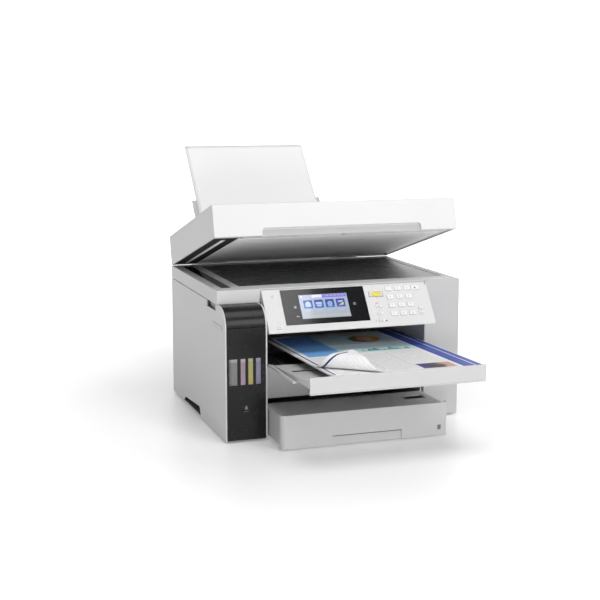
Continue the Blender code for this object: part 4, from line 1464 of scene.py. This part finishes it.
class PRINTER_OT_paper_path(PrinterOperator, bpy.types.Operator):
    """Detail the trays, the cassettes and the rear support"""

    bl_idname = "printer.paper_path"
    bl_label = "Trays and cassettes"

    def build(self):
        self.output_trays()
        self.upper_cassette()
        self.lower_cassette()
        self.rear_support()

    @staticmethod
    def output_trays():
        left = in_case(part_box("output_tray_front")[0])
        bm = bmesh.new()
        box(bm, (85.4, 92.6), (-206.0, -58.0), (145.2, 148.4), radius=1.0, axis="Y", segments=3)
        box(bm, (85.4, 88.0), (-206.0, -58.0), (148.3, 150.2), radius=0.8, axis="Y", segments=3)
        settle("tray_side_rail", bm, CASE, ["shell white"], "output_tray_front", bevel=0.3)
        bm = bmesh.new()
        box(bm, (93.9, 436.6), (left.y - 0.25, left.y + 0.2), (140.4, 141.0), radius=0.2, axis="X", segments=2)
        settle("tray_front_crease", bm, CASE, ["soft grey"], "output_tray_front")
        bm = bmesh.new()
        for x in (124.0, 190.0, 256.0, 322.0, 388.0):
            box(bm, (x, x + 1.6), (-144.0, 30.0), (141.2, 142.1), radius=0.5, axis="Y", segments=2)
        settle("tray_floor_ribs", bm, CASE, ["fitting grey"], "output_tray")
        bm = bmesh.new()
        box(bm, (109.3, 163.7), (-135.7, -117.3), (144.6, 145.6), radius=0.4, segments=2)
        settle("tray_slot_floor", bm, CASE, ["dull black"], "output_tray_front")

    @staticmethod
    def upper_cassette():
        front = in_case(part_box("cassette_upper")[0]).y
        bm = bmesh.new()
        plate(bm, rounded((180.0, 332.0), (74.0, 88.0), 4.0), front - 0.5, front + 0.4, axis="Y")
        settle("upper_cassette_grip", bm, CASE, ["soft grey"], "cassette_upper", bevel=0.3)
        bm = bmesh.new()
        box(bm, (86.0, 424.0), (front - 0.15, front + 0.2), (132.6, 133.4), radius=0.2, axis="X", segments=2)
        settle("upper_cassette_line", bm, CASE, ["legend grey"], "cassette_upper")

    @staticmethod
    def lower_cassette():
        low, high = (in_case(corner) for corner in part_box("cassette_lower_extension"))
        front = low.y
        bm = bmesh.new()
        page = rounded((404.0, 410.6), (14.6, 24.0), 0.6, 2)
        plate(bm, page, front - 0.12, front + 0.2, axis="Y")
        settle("cassette_size_mark", bm, CASE, ["legend dark"], "cassette_lower_extension")
        bm = bmesh.new()
        for z in (16.8, 19.2, 21.6):
            box(bm, (405.4, 409.2), (front - 0.22, front), (z - 0.4, z + 0.4), radius=0.15, segments=2)
        settle("cassette_size_rows", bm, CASE, ["tray grey"], "cassette_lower_extension")
        bm = bmesh.new()
        box(bm, (186.4, 327.6), (front + 1.0, front + 2.55), (19.8, 21.9), radius=0.4, axis="X", segments=2)
        settle(
            "cassette_grip_shadow_gap",
            bm,
            CASE,
            ["fitting grey"],
            "cassette_lower_extension",
        )
        cover = in_case(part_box("cassette_lower_cover")[1]).z
        bm = bmesh.new()
        outer, inner = rounded((363.8, 410.2), (-78.2, -47.8), 2.6), rounded((366.2, 407.8), (-75.8, -50.2), 1.0)
        before = len(bm.faces)
        rims = [[bm.verts.new((x, y, cover + 0.5)) for x, y in outline] for outline in (outer, inner)]
        count = len(outer)
        for loop in rims:
            for index in range(count):
                bm.edges.new((loop[index], loop[(index + 1) % count]))
        bmesh.ops.bridge_loops(bm, edges=bm.edges[:])
        if len(bm.faces) == before:
            raise RuntimeError("the slot's rim didn't close")
        moved = bmesh.ops.extrude_face_region(bm, geom=bm.faces[:])
        bmesh.ops.translate(bm, vec=(0.0, 0.0, -0.6), verts=new_verts(moved))
        settle("cassette_slot_rim", bm, CASE, ["soft grey"], "cassette_lower_extension")
        bm = bmesh.new()
        box(bm, (98.0, 412.0), (front + 12.0, front + 13.0), (cover - 0.1, cover + 0.35), radius=0.2, segments=2)
        box(bm, (367.0, 407.0), (-75.0, -51.0), (52.0, 53.0), radius=0.4, segments=2)
        settle("cassette_cover_creases", bm, CASE, ["soft grey"], "cassette_lower_extension")
        bm = bmesh.new()
        for x in (140.0, 362.0):
            box(bm, (x, x + 2.4), (20.0, 130.0), (9.0, 34.0), radius=0.8, segments=2)
        settle("lower_cassette_guides", bm, CASE, ["soft grey"], "cassette_lower")

    @staticmethod
    def rear_support():
        bm = bmesh.new()
        foot = 88.0
        for x in (170.0, 246.0, 322.0):
            box(bm, (x - 1.0, x + 1.0), (foot + 12.0, foot + 160.0), (-0.85, -0.15), radius=0.3, segments=2)
        settle("support_ribs", bm, FEED, ["tray grey"], "base")
        bm = bmesh.new()
        box(bm, (216.0, 276.0), (foot + 262.0, foot + 276.0), (-8.2, -7.3), radius=0.4, segments=2)
        for x in (160.0, 332.0):
            box(bm, (x - 1.2, x + 1.2), (foot + 66.0, foot + 272.0), (-8.0, -7.3), radius=0.4, segments=2)
        settle("support_extension_grip", bm, FEED, ["soft grey"], "paper_support_extension")


class PRINTER_OT_engine(PrinterOperator, bpy.types.Operator):
    """Fit the drive belt, the print head plate, the roller sleeves and the board's chips"""

    bl_idname = "printer.engine"
    bl_label = "Print engine"

    IDLER_X, BELT_RADIUS, BELT_WIDTH, BELT_THICKNESS = 486.0, 7.4, 5.0, 1.1
    SLEEVE_COUNT, SLEEVE_START, SLEEVE_PITCH, SLEEVE_LENGTH = 8, 116.0, 42.0, 22.0

    def build(self):
        self.belt()
        self.carriage()
        self.rollers()
        self.board_parts()

    def belt(self):
        """A toothed loop from the motor pulley to an idler on the right."""
        pulley = in_case(HINGES["belt_pulley_spin"]["pos_m"])
        far, radius, width = self.IDLER_X, self.BELT_RADIUS, self.BELT_WIDTH
        path = []
        for centre, start in ((far, 90), (pulley.x, 270)):
            for step in range(0, 181, 15):
                angle = math.radians(start - step)
                path.append((centre + radius * math.cos(angle), pulley.z + radius * math.sin(angle)))
        bm = bmesh.new()
        loops = []
        for y in (pulley.y - width / 2, pulley.y + width / 2):
            verts = [bm.verts.new((x, y, z)) for x, z in path]
            loops += [bm.edges.new((verts[i], verts[(i + 1) % len(verts)])) for i in range(len(verts))]
        bmesh.ops.bridge_loops(bm, edges=loops)
        belt = settle("drive_belt", bm, CASE, ["belt"], "base", closed=True)
        wall = belt.modifiers.new("thickness", "SOLIDIFY")
        wall.thickness, wall.offset = self.BELT_THICKNESS * MM, 0.0
        bm = bmesh.new()
        rod(bm, (far, pulley.y, pulley.z), 6.4, 7.0, axis="Y", sides=28, lip=0.6)
        ring(bm, (far, pulley.y - 3.9, pulley.z), 3.0, 8.4, 0.9, axis="Y")
        settle("belt_idler", bm, CASE, ["tray grey"], "base")

    @staticmethod
    def carriage():
        low, high = (in_case(corner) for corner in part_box("print_carriage"))
        middle = (low.x + high.x) / 2
        bm = bmesh.new()
        box(
            bm,
            (low.x + 6.0, high.x - 6.0),
            (low.y + 5.0, high.y - 12.0),
            (high.z - 0.2, high.z + 1.6),
            radius=3.0,
            segments=4,
        )
        for step in (-34.0, -12.0, 10.0, 32.0):
            box(
                bm,
                (middle + step - 4.0, middle + step + 6.0),
                (low.y + 12.0, low.y + 62.0),
                (high.z + 1.5, high.z + 2.3),
                radius=1.0,
                segments=2,
            )
        # The carriage top takes the grey that was lightened as painted light.
        settle("carriage_top", bm, CASE, ["cover grey"], "print_carriage", bevel=0.3)
        bm = bmesh.new()
        box(
            bm,
            (low.x + 22.0, high.x - 22.0),
            (low.y + 22.0, high.y - 26.0),
            (low.z - 2.4, low.z + 0.4),
            radius=1.2,
            segments=2,
        )
        settle("print_head_plate", bm, CASE, ["plated steel"], "print_carriage", bevel=0.3)

    def rollers(self):
        """Rubber sleeves on the feed roller."""
        axle = in_case(HINGES["paper_feed_roller_spin"]["pos_m"])
        radius = (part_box("paper_feed_roller")[1].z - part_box("paper_feed_roller")[0].z) / 2 / MM
        bm = bmesh.new()
        for index in range(self.SLEEVE_COUNT):
            centre = (self.SLEEVE_START + self.SLEEVE_PITCH * index, axle.y, axle.z)
            ring(bm, centre, radius - 0.6, radius + 0.25, self.SLEEVE_LENGTH, axis="X", sides=32)
        settle("feed_roller_sleeves", bm, CASE, ["grey rubber"], "paper_feed_roller")

    @staticmethod
    def board_parts():
        low, high = (in_case(corner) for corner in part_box("main_board"))
        thin = min(range(3), key=lambda i: high[i] - low[i])
        spans = [[low[i] + 8.0, low[i] + 24.0] for i in range(3)]
        spans[thin] = [high[thin] - 0.1, high[thin] + 2.2]
        bm = bmesh.new()
        long = [i for i in range(3) if i != thin]
        for a in range(3):
            for b in range(2):
                place = [list(span) for span in spans]
                place[long[0]] = [v + 34.0 * a for v in place[long[0]]]
                place[long[1]] = [v + 30.0 * b for v in place[long[1]]]
                if place[long[0]][1] < high[long[0]] - 2 and place[long[1]][1] < high[long[1]] - 2:
                    box(bm, *place, radius=0.6, axis="ALL", segments=2)
        settle("board_chips", bm, CASE, ["dull black"], "base")


class PRINTER_OT_casing(PrinterOperator, bpy.types.Operator):
    """Add the casing's vents, seams, sockets, screws and latch"""

    bl_idname = "printer.casing"
    bl_label = "Casing"

    def build(self):
        self.side_details()
        self.rear_details()
        self.sockets()

    @staticmethod
    def side_details():
        bm = bmesh.new()
        box(bm, (-0.9, 0.4), (-36.0, 27.0), (217.6, 223.4), radius=2.4, axis="X", segments=4)
        settle("side_latch", bm, CASE, ["shell white"], "base", bevel=0.4)
        # The grey well round the latch is painted shade.
        bm = bmesh.new()
        box(bm, (-0.25, 0.4), (-38.4, 29.4), (215.8, 225.2), radius=3.4, axis="X", segments=4)
        settle("side_latch_well", bm, CASE, ["shell recess"], "base", bevel=0.15)
        # A wall behind the finger notch; its grey is painted shade in the pocket.
        bm = bmesh.new()
        box(bm, (7.4, 8.6), (10.0, 79.0), (244.0, 260.0), radius=1.0, axis="X", segments=3)
        settle("finger_notch_wall", bm, CASE, ["shell recess"], "base", bevel=0.2)
        bm = bmesh.new()
        width = in_case(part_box("right_side_cover")[1]).x
        for z in range(120, 193, 9):
            box(bm, (width - 0.4, width + 0.35), (270.0, 350.0), (z, z + 3.0), radius=1.4, axis="X", segments=3)
        settle("side_vents", bm, CASE, ["soft grey"], "base", bevel=0.2)

    @staticmethod
    def rear_details():
        rear = in_case(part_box("rear_feed_housing")[1]).y
        bm = bmesh.new()
        for z in range(196, 118, -7):
            box(bm, (110.0, 396.0), (rear - 0.4, rear + 0.6), (z, z + 2.6), radius=1.2, axis="Y", segments=3)
        settle("rear_louvres", bm, CASE, ["shell white"], "base", bevel=0.2)
        bm = bmesh.new()
        box(bm, (74.0, 432.0), (rear - 0.3, rear + 0.25), (222.0, 223.0), radius=0.3, axis="X", segments=2)
        box(bm, (74.0, 432.0), (rear - 0.3, rear + 0.25), (40.0, 41.0), radius=0.3, axis="X", segments=2)
        for x in (74.0, 431.0):
            box(bm, (x, x + 1.0), (rear - 0.3, rear + 0.25), (41.0, 222.0), radius=0.3, axis="Z", segments=2)
        settle("rear_door_seam", bm, CASE, ["soft grey"], "base")
        bm = bmesh.new()
        for x in (92.0, 392.0):
            box(bm, (x, x + 22.0), (rear - 0.3, rear + 1.6), (208.0, 216.0), radius=2.0, axis="Y", segments=3)
        settle("rear_door_latches", bm, CASE, ["soft grey"], "base", bevel=0.4)
        bm = bmesh.new()
        back = in_case(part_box("rear_cover")[1]).y
        for x, z in ((12.0, 20.0), (12.0, 240.0), (503.0, 110.0), (503.0, 240.0), (462.0, 240.0), (40.0, 240.0)):
            rod(bm, (x, back + 0.3, z), 3.2, 0.8, axis="Y", sides=20, lip=0.3)
            box(bm, (x - 2.0, x + 2.0), (back + 0.5, back + 0.8), (z - 0.35, z + 0.35))
            box(bm, (x - 0.35, x + 0.35), (back + 0.5, back + 0.8), (z - 2.0, z + 2.0))
        settle("rear_screws", bm, CASE, ["spring steel"], "base")

    @staticmethod
    def sockets():
        """Signal sockets above the power inlet, and the inlet's three pins."""
        back = in_case(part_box("rear_cover")[1]).y
        bm = bmesh.new()
        box(bm, (14.0, 50.0), (back - 0.3, back + 0.9), (70.0, 126.0), radius=2.0, axis="Y", segments=3)
        settle("socket_plate", bm, CASE, ["fitting grey"], "base", bevel=0.3)
        bm = bmesh.new()
        box(bm, (19.0, 33.0), (back + 0.7, back + 1.3), (76.0, 89.0), radius=1.6, axis="Y", segments=3)
        box(bm, (19.0, 36.0), (back + 0.7, back + 1.3), (100.0, 114.0), radius=0.8, axis="Y", segments=2)
        settle("socket_mouths", bm, CASE, ["dull black"], "base")
        bm = bmesh.new()
        for index in range(8):
            x = 21.6 + 1.5 * index
            box(bm, (x, x + 0.7), (back + 1.2, back + 1.45), (108.0, 112.6))
        box(bm, (22.4, 29.6), (back + 1.2, back + 1.5), (81.0, 84.6), radius=0.3, segments=2)
        settle("socket_contacts", bm, CASE, ["gold contacts"], "base")
        low, high = (in_case(corner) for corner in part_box("power_inlet"))
        middle = (low.x + high.x) / 2, (low.z + high.z) / 2
        bm = bmesh.new()
        for x, z in ((-6.8, -1.6), (6.8, -1.6), (0.0, 3.2)):
            box(
                bm,
                (middle[0] + x - 1.0, middle[0] + x + 1.0),
                (high.y - 13.0, high.y - 4.0),
                (middle[1] + z - 2.2, middle[1] + z + 2.2),
                radius=0.5,
                segments=2,
            )
        settle("inlet_pins", bm, CASE, ["plated steel"], "base")


class PRINTER_OT_studio(PrinterOperator, bpy.types.Operator):
    """Set the floor, the lights and the camera"""

    bl_idname = "printer.studio"
    bl_label = "Studio"

    HALF_WIDTH, FRONT, WALL, SWEEP, WALL_TOP = 12.0, -9.0, 5.0, 2.0, 7.0
    GLOW_NEAR, GLOW_BESIDE, GLOW_FAR = (0.19,) * 3, (0.06,) * 3, (0.95,) * 3
    SKY_RIM, SKY = (0.40,) * 3, (0.12,) * 3
    AIM = Vector((0.0, 0.0, 0.2))
    SOFTBOXES = (
        ("key", (1.1, -3.1, 1.7), 1.6, 50.0),
        ("top", (0.02, -0.9, 2.9), 1.7, 42.0),
        ("fill", (-0.9, -2.7, 0.2), 0.35, 13.0),
    )
    CAMERA_PLACE = (-0.8483, -2.4060, 0.6531)
    CAMERA_TURN_DEG, CAMERA_TILT_DEG, CAMERA_LENS, CAMERA_SENSOR = -18.92, -9.5, 72.6, 36.0

    def build(self):
        self.floor()
        self.lights()
        self.camera()

    def floor(self):
        """A pale floor that sweeps up behind into a wall, both glowing as painted light: dim near the printer,
        dimmest in a painted shade on its left, bright far off and on the wall.
        """
        off, on = (0.0,) * 3, (1.0,) * 3
        shader = Shader("studio floor")
        x, y, z = shader.axes()
        cloud = shader.noise(1.5, 2.0)
        away = ((x * x + y * y).power(0.5) - 0.45) / 1.1
        glow = shader.ramp(away + z, [(0.0, self.GLOW_NEAR), (1.0, self.GLOW_FAR)])
        beyond = shader.ramp((y - 2.2) / 2.4, [(0.0, off), (1.0, on)])
        # Painted shade on the floor beside the printer's left: the glow is dimmed there.
        glow = shader.mix(shader.ramp(x + 1.5, [(0.1, off), (0.8, on)]), self.GLOW_BESIDE, glow)
        glow = shader.mix(beyond, glow, self.GLOW_FAR)
        finish = shader.close(
            Base_Color=shader.mix(cloud, (0.78, 0.78, 0.78), (0.80, 0.80, 0.80)),
            Roughness=0.36 + cloud * 0.04,
            Emission_Color=glow,
            Emission_Strength=1.0,
        )
        profile = [(self.FRONT, 0.0), (-2.0, 0.0), (2.0, 0.0), (self.WALL, 0.0)]
        profile += arc((self.WALL, self.SWEEP), self.SWEEP, range(-81, 1, 9))
        profile += [(self.WALL + self.SWEEP, self.WALL_TOP)]
        bm = bmesh.new()
        verts = [bm.verts.new((-self.HALF_WIDTH, y, z)) for y, z in profile]
        edges = [bm.edges.new(pair) for pair in zip(verts, verts[1:])]
        made = bmesh.ops.extrude_edge_only(bm, edges=edges)
        bmesh.ops.translate(bm, vec=(2.0 * self.HALF_WIDTH, 0.0, 0.0), verts=new_verts(made))
        bm.normal_update()
        wrong = [face for face in bm.faces if face.normal.z < -0.01 or face.normal.y > 0.01]
        bmesh.ops.reverse_faces(bm, faces=wrong)
        mesh = bpy.data.meshes.new("studio_floor")
        bm.to_mesh(mesh)
        bm.free()
        mesh.materials.append(finish)
        mesh.shade_smooth()
        floor = bpy.data.objects.new("studio_floor", mesh)
        bpy.context.scene.collection.objects.link(floor)

    def lights(self):
        """A dim sky, paler at the horizon, and three softboxes."""
        world = bpy.data.worlds.new("studio")
        world.use_nodes = True
        nodes, links = world.node_tree.nodes, world.node_tree.links
        place, axes, rise = (nodes.new(f"ShaderNode{kind}") for kind in ("TexCoord", "SeparateXYZ", "ValToRGB"))
        Shader.set_stops(rise.color_ramp, [(0.0, self.SKY_RIM), (0.2, self.SKY)])
        links.new(place.outputs["Generated"], axes.inputs[0])
        links.new(axes.outputs["Z"], rise.inputs[0])
        links.new(rise.outputs["Color"], nodes["Background"].inputs["Color"])
        nodes["Background"].inputs["Strength"].default_value = 1.0
        scene = bpy.context.scene
        scene.world = world
        scene.view_settings.view_transform = "Standard"
        for name, place, size, power in self.SOFTBOXES:
            light = bpy.data.lights.new(f"{name} softbox", "AREA")
            light.size, light.energy = size, power
            holder = bpy.data.objects.new(f"{name} softbox", light)
            holder.location = place
            holder.rotation_euler = (self.AIM - Vector(place)).to_track_quat("-Z", "Y").to_euler()
            scene.collection.objects.link(holder)

    def camera(self):
        data = bpy.data.cameras.new("studio camera")
        data.lens, data.sensor_width, data.sensor_fit = self.CAMERA_LENS, self.CAMERA_SENSOR, "HORIZONTAL"
        data.clip_start, data.clip_end = 0.05, 60.0
        camera = bpy.data.objects.new("studio camera", data)
        camera.location = self.CAMERA_PLACE
        camera.rotation_euler = (math.radians(90.0 + self.CAMERA_TILT_DEG), 0.0, math.radians(self.CAMERA_TURN_DEG))
        bpy.context.scene.collection.objects.link(camera)
        bpy.context.scene.camera = camera


OPERATORS = (
    PRINTER_OT_finishes,
    PRINTER_OT_casing,
    PRINTER_OT_ink_bay,
    PRINTER_OT_engine,
    PRINTER_OT_paper_path,
    PRINTER_OT_prints,
    PRINTER_OT_feed_sheet,
    PRINTER_OT_scanner,
    PRINTER_OT_lid,
    PRINTER_OT_display,
    PRINTER_OT_keys,
    PRINTER_OT_studio,
)


class PRINTER_PT_panel(bpy.types.Panel):
    """The printer's operators and settings"""

    bl_label = "Printer"
    bl_idname = "PRINTER_PT_panel"
    bl_space_type = "VIEW_3D"
    bl_region_type = "UI"
    bl_category = "Printer"

    def draw(self, context):
        for operator in OPERATORS:
            self.layout.operator(operator.bl_idname)
        for group in (context.scene.printer_colours, context.scene.printer_sizes):
            column = self.layout.column()
            for name in group.bl_rna.properties.keys():
                if name not in {"rna_type", "name"}:
                    column.prop(group, name)


CLASSES = (PrinterColours, PrinterSizes, *OPERATORS, PRINTER_PT_panel)


def register():
    for made in CLASSES:
        bpy.utils.register_class(made)
    bpy.types.Scene.printer_colours = PointerProperty(type=PrinterColours)
    bpy.types.Scene.printer_sizes = PointerProperty(type=PrinterSizes)


def unregister():
    del bpy.types.Scene.printer_sizes
    del bpy.types.Scene.printer_colours
    for made in reversed(CLASSES):
        bpy.utils.unregister_class(made)


def main():
    register()
    for operator in OPERATORS:
        group, name = operator.bl_idname.split(".")
        getattr(getattr(bpy.ops, group), name)()


if __name__ == "__main__":
    main()
